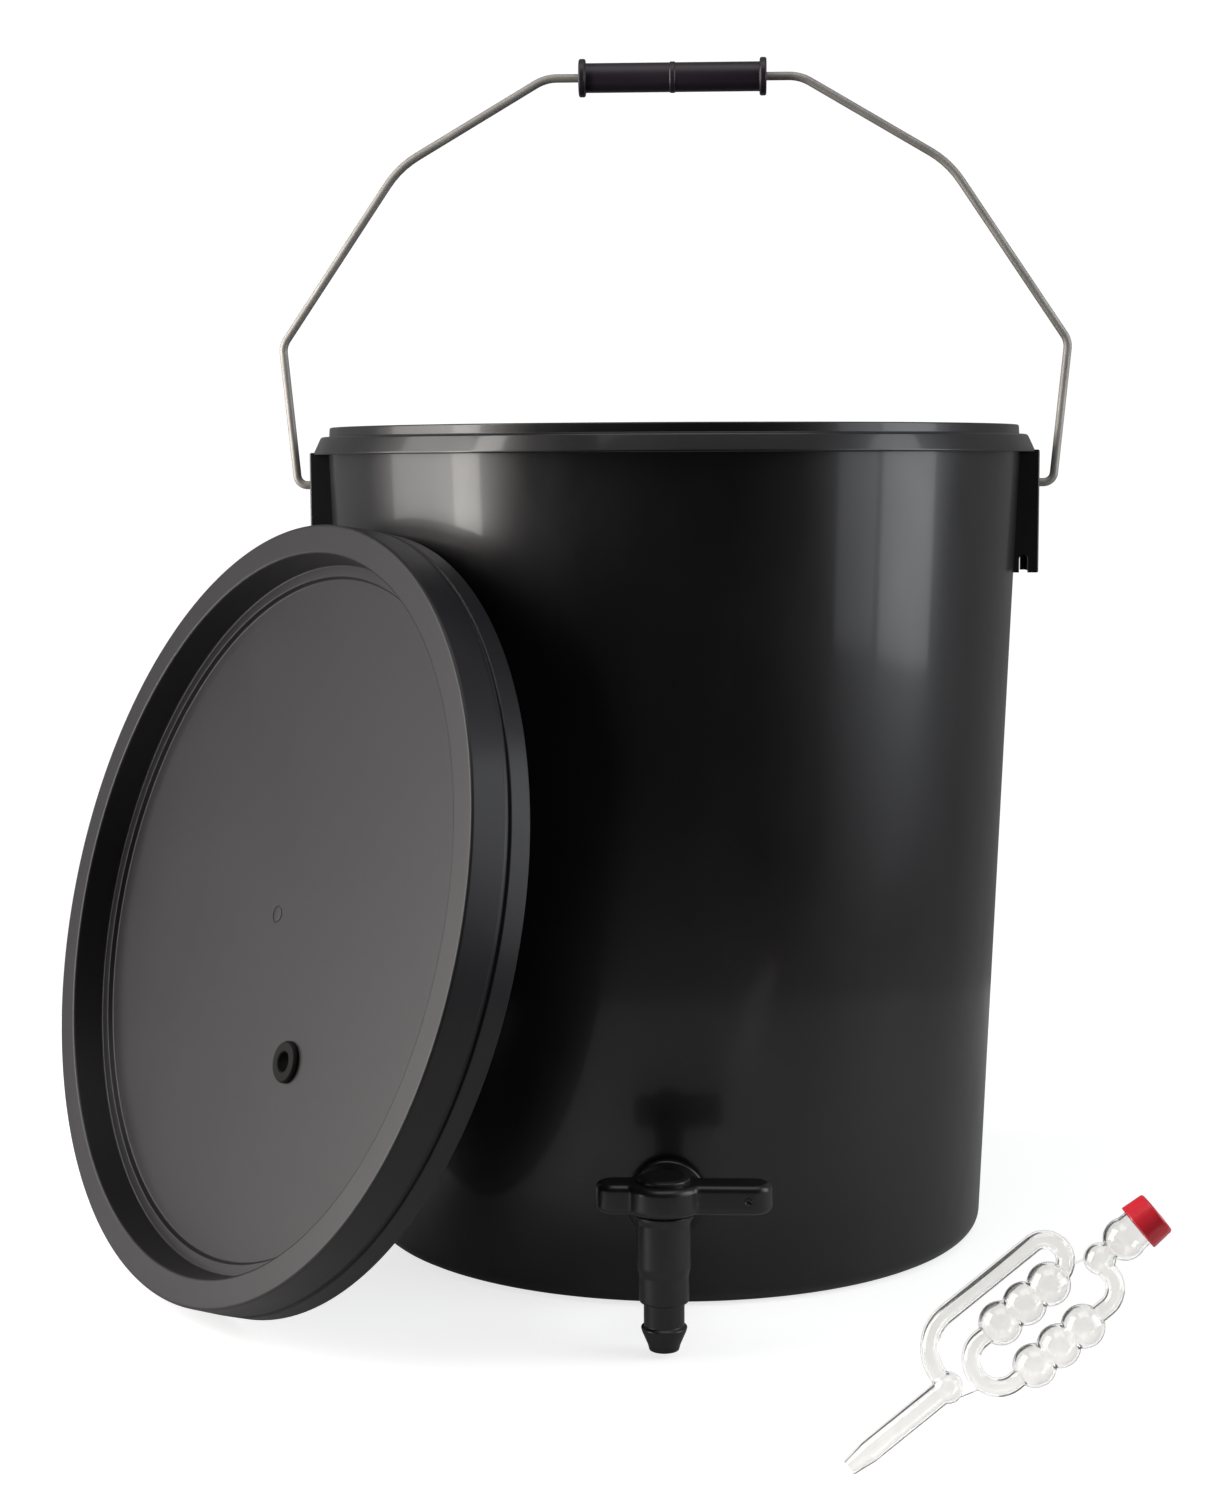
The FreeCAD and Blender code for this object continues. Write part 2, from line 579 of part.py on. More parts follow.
def make_bail_grip():
    body = new_body("bail_grip")
    outline = new_sketch(body, "grip_outline", "XZ_Plane")
    end = "@grip_long / 2"
    shy = "(@grip_long / 2 - @grip_flange_long)"
    add_outline(outline, [
        ("-" + end, "@wire_r + @wire_play"),
        (end, "@wire_r + @wire_play"),
        (end, "@grip_flange_r"),
        (shy, "@grip_flange_r"),
        (shy, "@grip_r"),
        ("1.2", "@grip_r"),
        ("0.9", "@grip_ring_r"),
        ("-0.9", "@grip_ring_r"),
        ("-1.2", "@grip_r"),
        ("-" + shy, "@grip_r"),
        ("-" + shy, "@grip_flange_r"),
        ("-" + end, "@grip_flange_r"),
    ])
    doc.recompute()
    revolve(body, "grip_turned", outline, "H_Axis")
    doc.recompute()
    half = size("grip_long") / 2
    inner = half - size("grip_flange_long")
    rims = []
    for sign in (-1, 1):
        rims.append((size("grip_flange_r"), sign * half))
        rims.append((size("grip_flange_r"), sign * inner))
    round_edges(body, "grip_rounding", ring_edges(body.Shape, X_AXIS, rims), "0.9")
    body.setExpression("Placement.Base.z", bound(PIVOT + " + @crook_up"))
    return body


# ---------------------------------------------------------------- lid
def lid_lean():
    """Degrees the lid leans back: more, where it would otherwise reach above the band."""
    room = size("bucket_height") - size("band_drop") - size("lid_below")
    least = math.degrees(math.acos(min(1.0, room / (2.0 * size("lid_r")))))
    return max(size("lid_lean"), least)


def lid_placement():
    """The lid stands on the floor and leans on the wall, its face turned out and left."""
    turn = math.radians(size("lid_turn"))
    lean = math.radians(lid_lean())
    deep = size("lid_deep")
    radius = size("lid_r")
    away = V(-math.sin(turn), -math.cos(turn), 0)
    normal = away * math.cos(lean) + Z_AXIS * math.sin(lean)
    across = Z_AXIS.cross(normal)
    across.normalize()
    along = normal.cross(across)
    middle_up = deep * math.sin(lean) + radius * math.cos(lean)
    top_up = middle_up - deep * math.sin(lean) + radius * math.cos(lean)
    reach = wall_radius(top_up) + size("lid_gap")
    reach += deep * math.cos(lean) + radius * math.sin(lean)
    centre = away * reach + Z_AXIS * middle_up
    spin = FreeCAD.Rotation(across, along, normal, "ZXY")
    return FreeCAD.Placement(centre, spin)


def make_lid():
    body = new_body("lid_cover")
    outline = new_sketch(body, "lid_outline", "XZ_Plane")
    low = "-@lid_deep"
    add_outline(outline, [
        ("0", "-@lid_well_deep"),
        ("@lid_step_r", "-@lid_well_deep"),
        ("@lid_step_r + 0.8", "-@lid_well_deep + @lid_step_tall"),
        ("@lid_well_r", "-@lid_well_deep + @lid_step_tall"),
        ("@lid_ring_r", "0"),
        ("@lid_band_r - @lid_slope", "0"),
        ("@lid_band_r", "-@lid_band_deep"),
        ("@lid_band_r - @lid_groove_deep", "-@lid_band_deep - 0.6"),
        ("@lid_band_r - @lid_groove_deep", "-@lid_band_deep - @lid_groove"),
        ("@lid_r - 0.5", "-@lid_band_deep - @lid_groove - 0.5"),
        ("@lid_r", low),
        ("@lid_r - @lid_thick", low),
        ("@lid_r - @lid_thick - 0.4", "-@lid_band_deep - @lid_groove - 1.5"),
        ("@lid_band_r - @lid_groove_deep - @lid_thick", "-@lid_band_deep - @lid_groove"),
        ("@lid_band_r - @lid_groove_deep - @lid_thick", "-@lid_band_deep - 0.6"),
        ("@lid_band_r - @lid_thick", "-@lid_band_deep + 0.6"),
        ("@lid_band_r - @lid_slope - @lid_thick", "-@lid_thick"),
        ("@lid_ring_r + @lid_thick", "-@lid_thick"),
        ("@lid_well_r + @lid_thick - 0.2", "-@lid_well_deep"),
        ("@lid_step_r + 2.4", "-@lid_well_deep"),
        ("@lid_step_r + 1.4", "-@lid_well_deep - @lid_thick"),
        ("0", "-@lid_well_deep - @lid_thick"),
    ])
    doc.recompute()
    revolve(body, "lid_turned", outline, "V_Axis")
    doc.recompute()
    rims = [
        (size("lid_ring_r"), 0.0),
        (size("lid_band_r") - size("lid_slope"), 0.0),
    ]
    round_edges(body, "ring_rounding", ring_edges(body.Shape, Z_AXIS, rims), "1.1")
    mark = new_sketch(body, "gate_mark", "XY_Plane", "-@lid_well_deep")
    add_circle(mark, "0", "0", "@lid_gate_r")
    add_circle(mark, "0", "0", "@lid_gate_r - 0.8")
    pocket(body, "gate_mark_cut", mark, "0.4")
    hole = new_sketch(body, "grommet_hole", "XY_Plane", "-@lid_well_deep + 1")
    add_circle(hole, "@lid_hole_x", "@lid_hole_y", "@lid_hole_r")
    pocket(body, "grommet_hole_cut", hole, "@lid_thick + 3")
    body.Placement = lid_placement()
    return body


def make_grommet():
    body = new_body("lid_grommet")
    outline = new_sketch(body, "grommet_outline", "XZ_Plane")
    add_outline(outline, [
        ("@grommet_bore_r", "-@lid_thick - @grommet_flange + @grommet_lead"),
        ("@grommet_bore_r + @grommet_lead", "-@lid_thick - @grommet_flange"),
        ("@grommet_r - 0.7", "-@lid_thick - @grommet_flange"),
        ("@grommet_r", "-@lid_thick - 0.5 * @grommet_flange"),
        ("@grommet_r", "-@lid_thick"),
        ("@lid_hole_r", "-@lid_thick"),
        ("@lid_hole_r", "0"),
        ("@grommet_r", "0"),
        ("@grommet_r", "0.5 * @grommet_flange"),
        ("@grommet_r - 0.7", "@grommet_flange"),
        ("@grommet_bore_r + @grommet_lead", "@grommet_flange"),
        ("@grommet_bore_r", "@grommet_flange - @grommet_lead"),
    ])
    doc.recompute()
    revolve(body, "grommet_turned", outline, "V_Axis")
    doc.recompute()
    spot = V(size("lid_hole_x"), size("lid_hole_y"), -size("lid_well_deep"))
    body.Placement = lid_placement().multiply(FreeCAD.Placement(spot, FreeCAD.Rotation()))
    return body


# ---------------------------------------------------------------- tap
def make_tap_body():
    """One moulding: tail, collar and neck along Y, barrel and spout along Z."""
    body = new_body("tap_body")
    along = new_sketch(body, "tail_outline", "YZ_Plane", "0")
    add_outline(along, [
        ("-@tail_in", "0"),
        ("-@tail_in", "@tail_r - 1"),
        ("-@tail_in - 1", "@tail_r"),
        ("-@collar_back", "@tail_r"),
        ("-@collar_back", "@collar_r"),
        ("-@collar_back - @collar_thick", "@collar_r"),
        ("-@collar_back - @collar_thick", "@neck_r + 2.5"),
        ("-@collar_back - @collar_thick - 3", "@neck_r"),
        ("-@barrel_out", "@neck_r"),
        ("-@barrel_out", "0"),
    ])
    doc.recompute()
    revolve(body, "tail_turned", along, "H_Axis")
    doc.recompute()
    edges = [(size("collar_r"), -size("collar_back") - size("collar_thick"))]
    round_edges(body, "collar_rounding", ring_edges(body.Shape, Y_AXIS, edges), "1.2")

    upright = new_sketch(body, "spout_outline", "XZ_Plane", "@barrel_out")
    add_outline(upright, [
        ("0", "@barrel_top"),
        ("@barrel_r + @barrel_flare - 0.6", "@barrel_top"),
        ("@barrel_r + @barrel_flare", "@barrel_top - 0.6"),
        ("@barrel_r + @barrel_flare", "@barrel_top - 1.6"),
        ("@barrel_r", "@barrel_top - 4"),
        ("@barrel_r", "-@plug_drop - @plug_shelf - @barrel_wall"),
        ("@spout_r", "-@plug_drop - @plug_shelf - @barrel_wall - 4"),
        ("@spout_r", "-@spout_step + 0.8"),
        ("@spout_r - 0.8", "-@spout_step"),
        ("@hose_r", "-@spout_step"),
        ("@hose_r", "@barb_up - @tap_up + 1.2"),
        ("@barb_r", "@barb_up - @tap_up"),
        ("@tip_r", "@tip_up - @tap_up + 3.4"),
        ("@tip_r", "@tip_up - @tap_up"),
        ("0", "@tip_up - @tap_up"),
    ])
    doc.recompute()
    revolve(body, "spout_turned", upright, "V_Axis")
    doc.recompute()

    # thread: one groove repeated along the tail
    tooth = new_sketch(body, "thread_tooth", "YZ_Plane")
    start = "-(@tail_in + 1.6)"
    add_outline(tooth, [
        (start, "@tail_r + 0.5"),
        (start + " - @thread_pitch * 0.45", "@tail_r - @thread_deep"),
        (start + " - @thread_pitch * 0.55", "@tail_r - @thread_deep"),
        (start + " - @thread_pitch", "@tail_r + 0.5"),
    ])
    doc.recompute()
    groove = revolve(body, "thread_groove", tooth, "H_Axis", cut=True)
    doc.recompute()
    count = int((size("nut_face") - size("tail_in") - 3.0) / size("thread_pitch"))
    rows = body.newObject("PartDesign::LinearPattern", "thread")
    rows.Originals = [groove]
    rows.Direction = (plane_of(body, "XZ_Plane"), [""])
    rows.Reversed = False
    rows.Occurrences = count
    rows.Length = size("thread_pitch") * (count - 1)
    body.Tip = rows
    doc.recompute()

    # water way: inlet bore, plug seat and spout bore
    inlet = new_sketch(body, "inlet_bore", "XZ_Plane", "@tail_in - 5")
    add_circle(inlet, "0", "0", "@tail_bore_r")
    pocket(body, "inlet_cut", inlet, "@barrel_out - @tail_in + 5", reverse=True)
    seat = new_sketch(body, "plug_seat", "XY_Plane", "@barrel_top + 1")
    add_circle(seat, "0", "-@barrel_out", "@plug_r + @plug_play")
    pocket(body, "seat_cut", seat, "@barrel_top + 1 + @plug_drop + @plug_shelf")
    bore = new_sketch(body, "spout_bore", "XY_Plane", "@tip_up - @tap_up - 1")
    add_circle(bore, "0", "-@barrel_out", "@spout_bore_r")
    pocket(body, "bore_cut", bore, "@tap_up - @tip_up", reverse=True)
    body.setExpression("Placement.Base.z", bound("@tap_up"))
    return body


def make_tap_lever():
    """Lever, hub and hollow plug: one moulding that turns in the barrel."""
    body = new_body("tap_lever")
    low = "@barrel_top + @lever_gap"
    bar = new_sketch(body, "bar_outline", "XY_Plane", low)
    half = size("lever_wide") / 2
    left = V(-size("lever_short") + half, 0, 0)
    right = V(size("lever_long") - half, 0, 0)
    up = V(0, half, 0)
    bar.addGeometry(Part.LineSegment(left - up, right - up), False)
    bar.addGeometry(Part.ArcOfCircle(Part.Circle(right, Z_AXIS, half),
                                     -math.pi / 2, math.pi / 2), False)
    bar.addGeometry(Part.LineSegment(right + up, left + up), False)
    bar.addGeometry(Part.ArcOfCircle(Part.Circle(left, Z_AXIS, half),
                                     math.pi / 2, 3 * math.pi / 2), False)
    for one, one_end, two, two_end in ((0, 2, 1, 1), (1, 2, 2, 1), (2, 2, 3, 1), (3, 2, 0, 1)):
        bar.addConstraint(Sketcher.Constraint("Tangent", one, one_end, two, two_end))
    pin_point(bar, 1, 3, "@lever_long - @lever_wide / 2", "0")
    index = bar.addConstraint(Sketcher.Constraint("Radius", 1, half))
    bar.setExpression("Constraints[%d]" % index, bound("@lever_wide / 2"))
    index = bar.addConstraint(Sketcher.Constraint("DistanceX", -1, 1, 3, 3, left.x))
    bar.setExpression("Constraints[%d]" % index, bound("-(@lever_short - @lever_wide / 2)"))
    index = bar.addConstraint(Sketcher.Constraint("DistanceY", -1, 1, 3, 3, 0.0))
    bar.setExpression("Constraints[%d]" % index, bound("0"))
    doc.recompute()
    pad(body, "bar", bar, "@lever_tall")
    doc.recompute()
    hub = new_sketch(body, "hub_outline", "XY_Plane", low)
    add_circle(hub, "0", "0", "@hub_r")
    doc.recompute()
    pad(body, "hub", hub, "@lever_tall")
    doc.recompute()
    base = size("barrel_top") + size("lever_gap")
    top = base + size("lever_tall")
    # the corners between hub and bar are rounded first, so that the rims run round smoothly
    corners = []
    for index, edge in enumerate(body.Shape.Edges, start=1):
        box = edge.BoundBox
        upright = box.XLength < 1e-6 and box.YLength < 1e-6
        if upright and abs(math.hypot(box.XMin, box.YMin) - size("hub_r")) < 1e-3:
            corners.append("Edge%d" % index)
    round_edges(body, "corner_rounding", corners, "@corner_round")
    names = []
    for index, edge in enumerate(body.Shape.Edges, start=1):
        box = edge.BoundBox
        flat = box.ZLength < 1e-6
        if flat and (abs(box.ZMin - top) < 1e-3 or abs(box.ZMin - base) < 1e-3):
            names.append("Edge%d" % index)
    round_edges(body, "lever_rounding", names, "@lever_round")
    disc = new_sketch(body, "disc_outline", "XY_Plane", low + " + @lever_tall - 0.5")
    add_circle(disc, "0", "0", "@cap_disc_r")
    doc.recompute()
    pad(body, "disc", disc, "@cap_disc_tall + 0.5")
    doc.recompute()
    names = ring_edges(body.Shape, Z_AXIS, [(size("cap_disc_r"), top + size("cap_disc_tall"))])
    round_edges(body, "disc_rounding", names, "0.9")

    plug = new_sketch(body, "plug_outline", "XZ_Plane")
    groove = "@seal_up"
    add_outline(plug, [
        ("0", "@plug_bore_r + 0.6"),
        ("@plug_bore_r", "@plug_bore_r + 0.2"),
        ("@plug_bore_r", "-@plug_drop"),
        ("@plug_r", "-@plug_drop"),
        ("@plug_r", groove + " - @seal_r - 0.1"),
        ("@plug_r - 2 * @seal_r - 0.05", groove + " - @seal_r - 0.1"),
        ("@plug_r - 2 * @seal_r - 0.05", groove + " + @seal_r + 0.1"),
        ("@plug_r", groove + " + @seal_r + 0.1"),
        ("@plug_r", low + " + 1"),
        ("0", low + " + 1"),
    ])
    doc.recompute()
    revolve(body, "plug_turned", plug, "V_Axis")
    doc.recompute()
    window = new_sketch(body, "plug_window", "YZ_Plane", "0")
    add_circle(window, "0", "0", "@plug_bore_r - 0.2")
    pocket(body, "window_cut", window, "@plug_r + 1")
    # a small moulded dimple near the end of the long arm
    dimple = new_sketch(body, "dimple", "XZ_Plane", "@lever_wide / 2 - 0.8")
    add_circle(dimple, "@lever_long - 10", low + " + @lever_tall / 2", "1.5")
    pocket(body, "dimple_cut", dimple, "3", reverse=True)
    body.setExpression("Placement.Base.y", bound("-@barrel_out"))
    body.setExpression("Placement.Base.z", bound("@tap_up"))
    return body


def make_seal():
    """Seal ring in the plug's groove."""
    ring = doc.addObject("Part::Torus", "tap_seal_ring")
    ring.Label = "tap_seal_ring"
    ring.setExpression("Radius1", bound("@plug_r - @seal_r - 0.01"))
    ring.setExpression("Radius2", bound("@seal_r"))
    ring.setExpression("Placement.Base.y", bound("-@barrel_out"))
    ring.setExpression("Placement.Base.z", bound("@tap_up + @seal_up"))
    return ring


def make_washer(name, inner):
    """A flat ring pressed to the curve of the wall, outside it or inside it."""
    tube = doc.addObject("Part::Cylinder", name + "_disc")
    tube.setExpression("Radius", bound("@washer_r"))
    hole = doc.addObject("Part::Cylinder", name + "_hole")
    hole.setExpression("Radius", bound("@washer_hole_r"))
    wall = doc.addObject("Part::Cone", name + "_wall")
    wall.setExpression("Height", bound("@bucket_height"))
    foot, top = (wall_in("0"), "@lip_r - @lip_thick") if inner else ("@wall_foot_r", "@wall_top_r")
    shift = " - @seat_gap" if inner else " + @seat_gap"
    wall.setExpression("Radius1", bound(foot + shift))
    wall.setExpression("Radius2", bound(top + shift))
    face = "@nut_face" if inner else "@collar_back"
    length = "@wall_foot_r - @nut_face + 4" if inner else "@collar_back - @wall_foot_r + 6"
    start = "-(" + face + ")"
    for item in (tube, hole):
        item.setExpression("Height", bound(length))
        turn = FreeCAD.Rotation(X_AXIS, 90.0 if inner else -90.0)
        item.Placement = FreeCAD.Placement(V(0, 0, 0), turn)
        item.setExpression("Placement.Base.y", bound(start))
        item.setExpression("Placement.Base.z", bound("@tap_up"))
    ring = doc.addObject("Part::Cut", name + "_ring")
    ring.Base = tube
    ring.Tool = hole
    kind = "Part::Common" if inner else "Part::Cut"
    washer = doc.addObject(kind, name)
    washer.Label = name
    washer.Base = ring
    washer.Tool = wall
    return washer


def make_backnut():
    body = new_body("tap_backnut")
    hexagon = new_sketch(body, "nut_hexagon", "XZ_Plane", "@nut_face - @nut_flange / 2")
    corners = []
    for index in range(6):
        turn = "%d deg" % (60 * index + 30)
        radius = "@nut_flat / cos(30 deg)"
        corners.append((radius + " * cos(" + turn + ")", radius + " * sin(" + turn + ")"))
    add_outline(hexagon, corners)
    doc.recompute()
    pad(body, "nut_block", hexagon, "@nut_thick - @nut_flange / 2", reverse=True)
    doc.recompute()
    flange = new_sketch(body, "nut_flange_ring", "XZ_Plane", "@nut_face")
    add_circle(flange, "0", "0", "@nut_flange_r")
    doc.recompute()
    pad(body, "nut_flange_pad", flange, "@nut_flange", reverse=True)
    doc.recompute()
    hole = new_sketch(body, "nut_hole", "XZ_Plane", "@nut_face + 1")
    add_circle(hole, "0", "0", "@tail_r + @nut_play")
    pocket(body, "nut_hole_cut", hole, "@nut_thick + 4")
    body.setExpression("Placement.Base.z", bound("@tap_up"))
    return body


# ---------------------------------------------------------------- airlock
def air_placement():
    """The airlock stands on its stem tip, leaning right, its flat side to the front."""
    lean = FreeCAD.Rotation(Y_AXIS, size("air_lean"))
    tilt = FreeCAD.Rotation(X_AXIS, -size("air_tilt"))
    face = FreeCAD.Rotation(Z_AXIS, size("air_face"))
    spin = face.multiply(tilt).multiply(lean)
    tip = V(0, 0, -size("air_stem"))
    foot = spin.multVec(tip)
    axis = spin.multVec(Z_AXIS)
    edge = size("air_tip_r") * math.sqrt(max(0.0, 1.0 - axis.z * axis.z))
    return FreeCAD.Placement(V(size("air_x"), size("air_y"), edge) - foot, spin)


def bent_tube(points, bends, radius):
    """A round tube along straight runs in the XZ plane, with one bend radius per corner."""
    spots = [V(x, 0, z) for x, z in points]
    edges = []
    begin = spots[0]
    for before, corner, after, bend in zip(spots, spots[1:], spots[2:], bends):
        back = (before - corner).normalize()
        ahead = (after - corner).normalize()
        half = 0.5 * math.acos(max(-1.0, min(1.0, back.dot(ahead))))
        room = 0.49 * min((before - corner).Length, (after - corner).Length)
        cut = min(bend / math.tan(half), 2.0 * room - 0.02)
        reach = cut * math.tan(half)
        enter = corner + back * cut
        leave = corner + ahead * cut
        middle = corner + (back + ahead).normalize() * (reach / math.sin(half) - reach)
        if (enter - begin).Length > 1e-3:
            edges.append(Part.LineSegment(begin, enter).toShape())
        edges.append(Part.Arc(enter, middle, leave).toShape())
        begin = leave
    edges.append(Part.LineSegment(begin, spots[-1]).toShape())
    spine = Part.Wire(edges)
    heading = (spots[1] - spots[0]).normalize()
    ring = Part.Wire([Part.Circle(spots[0], heading, radius).toShape()])
    return spine.makePipeShell([ring], True, False)


def straight_strand(start, end, radius):
    """A thin round strand between two points of the XZ plane."""
    begin = V(start[0], 0, start[1])
    run = V(end[0], 0, end[1]) - begin
    return Part.makeCylinder(radius, run.Length, begin, run)


def airlock_solid(inset):
    """Stem, bulbs, six chambers and the tubes between them, drawn in by inset."""
    first = size("air_first")
    pitch = size("air_pitch")
    left = size("air_left")
    right = size("air_right")
    inlet = size("air_inlet")
    middle = size("air_mid")
    tube = size("air_tube_r") - inset
    bulb = size("air_bulb_r") - inset
    bubble = size("air_bubble_r") - inset
    last = first + 2 * pitch
    top_bulb = size("air_top_bulb")
    cup_at = V(middle, 0, size("air_cup"))
    # the inner shape runs on past the open ends of the outer one
    past = 1.0 if inset else 0.0
    stem = size("air_stem")
    stem_r = size("air_stem_r") - inset
    tip_r = size("air_tip_r") - inset
    taper = size("air_tip_long")
    pieces = [
        Part.makeCone(tip_r, stem_r, taper, V(0, 0, -stem), Z_AXIS),
        Part.makeCylinder(stem_r, stem - taper, V(0, 0, taper - stem), Z_AXIS),
        Part.makeCylinder(tip_r, past + 0.5, V(0, 0, -stem - past), Z_AXIS),
        Part.makeSphere(bulb, V(0, 0, 0)),
        Part.makeSphere(bulb, V(middle, 0, top_bulb)),
        Part.makeSphere(size("air_cup_r") - inset, cup_at),
        Part.makeCylinder(size("air_mouth_r") - inset,
                          size("air_mouth") - size("air_cup") + past, cup_at, Z_AXIS),
        Part.makeCylinder(tube, size("air_cup") - top_bulb, V(middle, 0, top_bulb), Z_AXIS),
    ]
    for column in (left, right):
        for index in range(3):
            pieces.append(Part.makeSphere(bubble, V(column, 0, first + pitch * index)))
    bow = (left - inlet) / 2
    crown = last + 4.5 + bow
    pieces.append(bent_tube(
        [(0, 0), (inlet, 0.6), (inlet, crown), (left, crown), (left, last)],
        [size("air_inlet_bend"), bow, bow], tube))
    sag = (right - left) / 2
    low = first - 9.5 - sag
    pieces.append(bent_tube(
        [(left, first), (left, low), (right, low), (right, first)], [sag, sag], tube))
    pieces.append(bent_tube(
        [(right, last), (right, top_bulb - 0.6), (middle, top_bulb - 0.6)],
        [size("air_outlet_bend")], tube))
    whole = pieces[0].fuse(pieces[1:])
    return whole.removeSplitter()


def make_airlock():
    """Clear welded airlock: a hollow shape of bulbs and tubes, so it is set by code."""
    outer = airlock_solid(0.0)
    shape = outer.cut(airlock_solid(size("air_wall")))
    thin = size("air_strand_r")
    bulb = size("air_bulb_r")
    sag = (size("air_right") - size("air_left")) / 2
    low = size("air_first") - 9.5 - sag
    crown = size("air_first") + 2 * size("air_pitch") + 4.5 + (size("air_left") - size("air_inlet")) / 2
    strands = [
        straight_strand((bulb - 0.6, 1.5), (size("air_left") + sag + 4, low - 1.5), thin),
        straight_strand((size("air_left"), crown), (size("air_mid") - 3, size("air_top_bulb") - 2), thin),
    ]
    for strand in strands:
        shape = shape.fuse(strand.cut(outer))
    solids = sorted(shape.Solids, key=lambda solid: -solid.Volume)
    obj = doc.addObject("Part::Feature", "airlock_body")
    obj.Label = "airlock_body"
    obj.Shape = solids[0]
    obj.Placement = air_placement()
    return obj


def make_airlock_cap():
    """Red cap that covers the mouth and is vented through its top."""
    body = new_body("airlock_cap")
    outline = new_sketch(body, "cap_outline", "XZ_Plane")
    top = "(@air_mouth + @cap_play + @cap_roof)"
    inner = "@air_mouth_r + @cap_play"
    add_outline(outline, [
        ("0", top + " - @cap_roof"),
        (inner, top + " - @cap_roof"),
        (inner, top + " - @cap_tall"),
        ("@cap_r", top + " - @cap_tall"),
        ("@cap_r - @cap_draft", top),
        ("0", top),
    ])
    doc.recompute()
    revolve(body, "cap_turned", outline, "V_Axis")
    doc.recompute()
    level = size("air_mouth") + size("cap_play") + size("cap_roof")
    names = ring_edges(body.Shape, Z_AXIS, [(size("cap_r") - size("cap_draft"), level)])
    round_edges(body, "cap_rounding", names, "0.8")
    vent = new_sketch(body, "cap_vents", "XY_Plane", top + " + 1")
    for turn in (0, 120, 240):
        angle = "%d deg" % turn
        add_circle(vent, "4 * cos(" + angle + ")", "4 * sin(" + angle + ")", "@cap_vent_r")
    pocket(body, "vents_cut", vent, "@cap_roof + 2")
    shift = FreeCAD.Placement(V(size("air_mid"), 0, 0), FreeCAD.Rotation())
    body.Placement = air_placement().multiply(shift)
    return body


PIECES = [
    make_bucket(),
    make_bail_wire(),
    make_bail_grip(),
    make_lid(),
    make_grommet(),
    make_tap_body(),
    make_tap_lever(),
    make_seal(),
    make_washer("tap_outer_washer", inner=False),
    make_washer("tap_inner_washer", inner=True),
    make_backnut(),
    make_airlock(),
    make_airlock_cap(),
]
doc.recompute()

for item in doc.Objects:
    if "Invalid" in item.State or "Error" in item.State:
        raise RuntimeError("failed object: " + item.Name)
for piece in PIECES:
    shape = piece.Shape
    if shape.isNull() or not shape.isValid():
        raise RuntimeError("bad shape: " + piece.Label)
    if len(shape.Solids) != 1:
        raise RuntimeError("%s has %d solids" % (piece.Label, len(shape.Solids)))

os.makedirs("parts", exist_ok=True)
for piece in PIECES:
    piece.Shape.exportStep("parts/%s.step" % piece.Label)
    print(piece.Label, round(piece.Shape.Volume / 1000.0, 2), "cm3")
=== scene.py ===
"""A black plastic fermenting bucket with its bail, drain tap, lid and airlock.

The working frame gives every place; this script models the visible pieces round it in
millimetres, gives each one its finish, and sets up a plain studio.
"""

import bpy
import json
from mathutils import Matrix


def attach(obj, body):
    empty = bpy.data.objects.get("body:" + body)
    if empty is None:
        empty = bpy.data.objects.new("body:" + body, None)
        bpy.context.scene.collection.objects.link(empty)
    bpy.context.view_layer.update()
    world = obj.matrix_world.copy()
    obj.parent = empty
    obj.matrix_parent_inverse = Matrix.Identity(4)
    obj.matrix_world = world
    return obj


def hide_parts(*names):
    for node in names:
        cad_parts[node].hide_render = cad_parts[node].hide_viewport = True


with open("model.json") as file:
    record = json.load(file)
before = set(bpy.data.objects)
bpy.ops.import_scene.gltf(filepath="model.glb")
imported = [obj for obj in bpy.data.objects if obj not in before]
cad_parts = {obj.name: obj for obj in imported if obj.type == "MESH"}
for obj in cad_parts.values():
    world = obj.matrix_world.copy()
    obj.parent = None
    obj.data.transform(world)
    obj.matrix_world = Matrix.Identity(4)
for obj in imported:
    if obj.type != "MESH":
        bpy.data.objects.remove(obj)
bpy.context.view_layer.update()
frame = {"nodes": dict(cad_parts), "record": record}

import json
import logging
import math
from dataclasses import dataclass
from enum import Enum
from typing import Optional, Sequence

import bmesh
import bpy
from mathutils import Matrix, Vector

LOG = logging.getLogger("fermenting_bucket")
MM = 0.001
TAP_CREASE = 34.0
UP = Vector((0.0, 0.0, 1.0))
Outline = Sequence[tuple]
Colour = tuple[float, float, float]


class Slot(Enum):
    """The record's material slots."""

    BUCKET = "bucket_plastic"
    LID = "lid_plastic"
    TAP = "tap_plastic"
    WIRE = "wire"
    GRIP = "grip_plastic"
    RUBBER = "black_rubber"
    CLEAR = "clear_plastic"
    RED = "red_plastic"


# ---------------------------------------------------------------- places from the frame
def mount_place(name: str) -> tuple[Vector, Vector]:
    """Find a mount of the frame.

    Args:
        name: the mount's name.

    Returns:
        Its position in millimetres and its axis.
    """
    for mount in frame["record"]["mounts"]:
        if mount["name"] == name:
            return Vector(mount["pos_m"]) / MM, Vector(mount["axis"]).normalized()
    raise KeyError(name)


def hinge_place(name: str) -> Vector:
    """Find a hinge of the frame.

    Args:
        name: the hinge's name.

    Returns:
        Its position in millimetres.
    """
    for joint in frame["record"]["behaviour"]["joints"]:
        if joint["name"] == name:
            return Vector(joint["pos_m"]) / MM
    raise KeyError(name)


def framed(origin: Vector, across: Vector, along: Vector, normal: Vector) -> Matrix:
    """Build a placement from an origin and three unit axes."""
    turned = Matrix((across, along, normal)).transposed().to_4x4()
    return Matrix.Translation(origin) @ turned


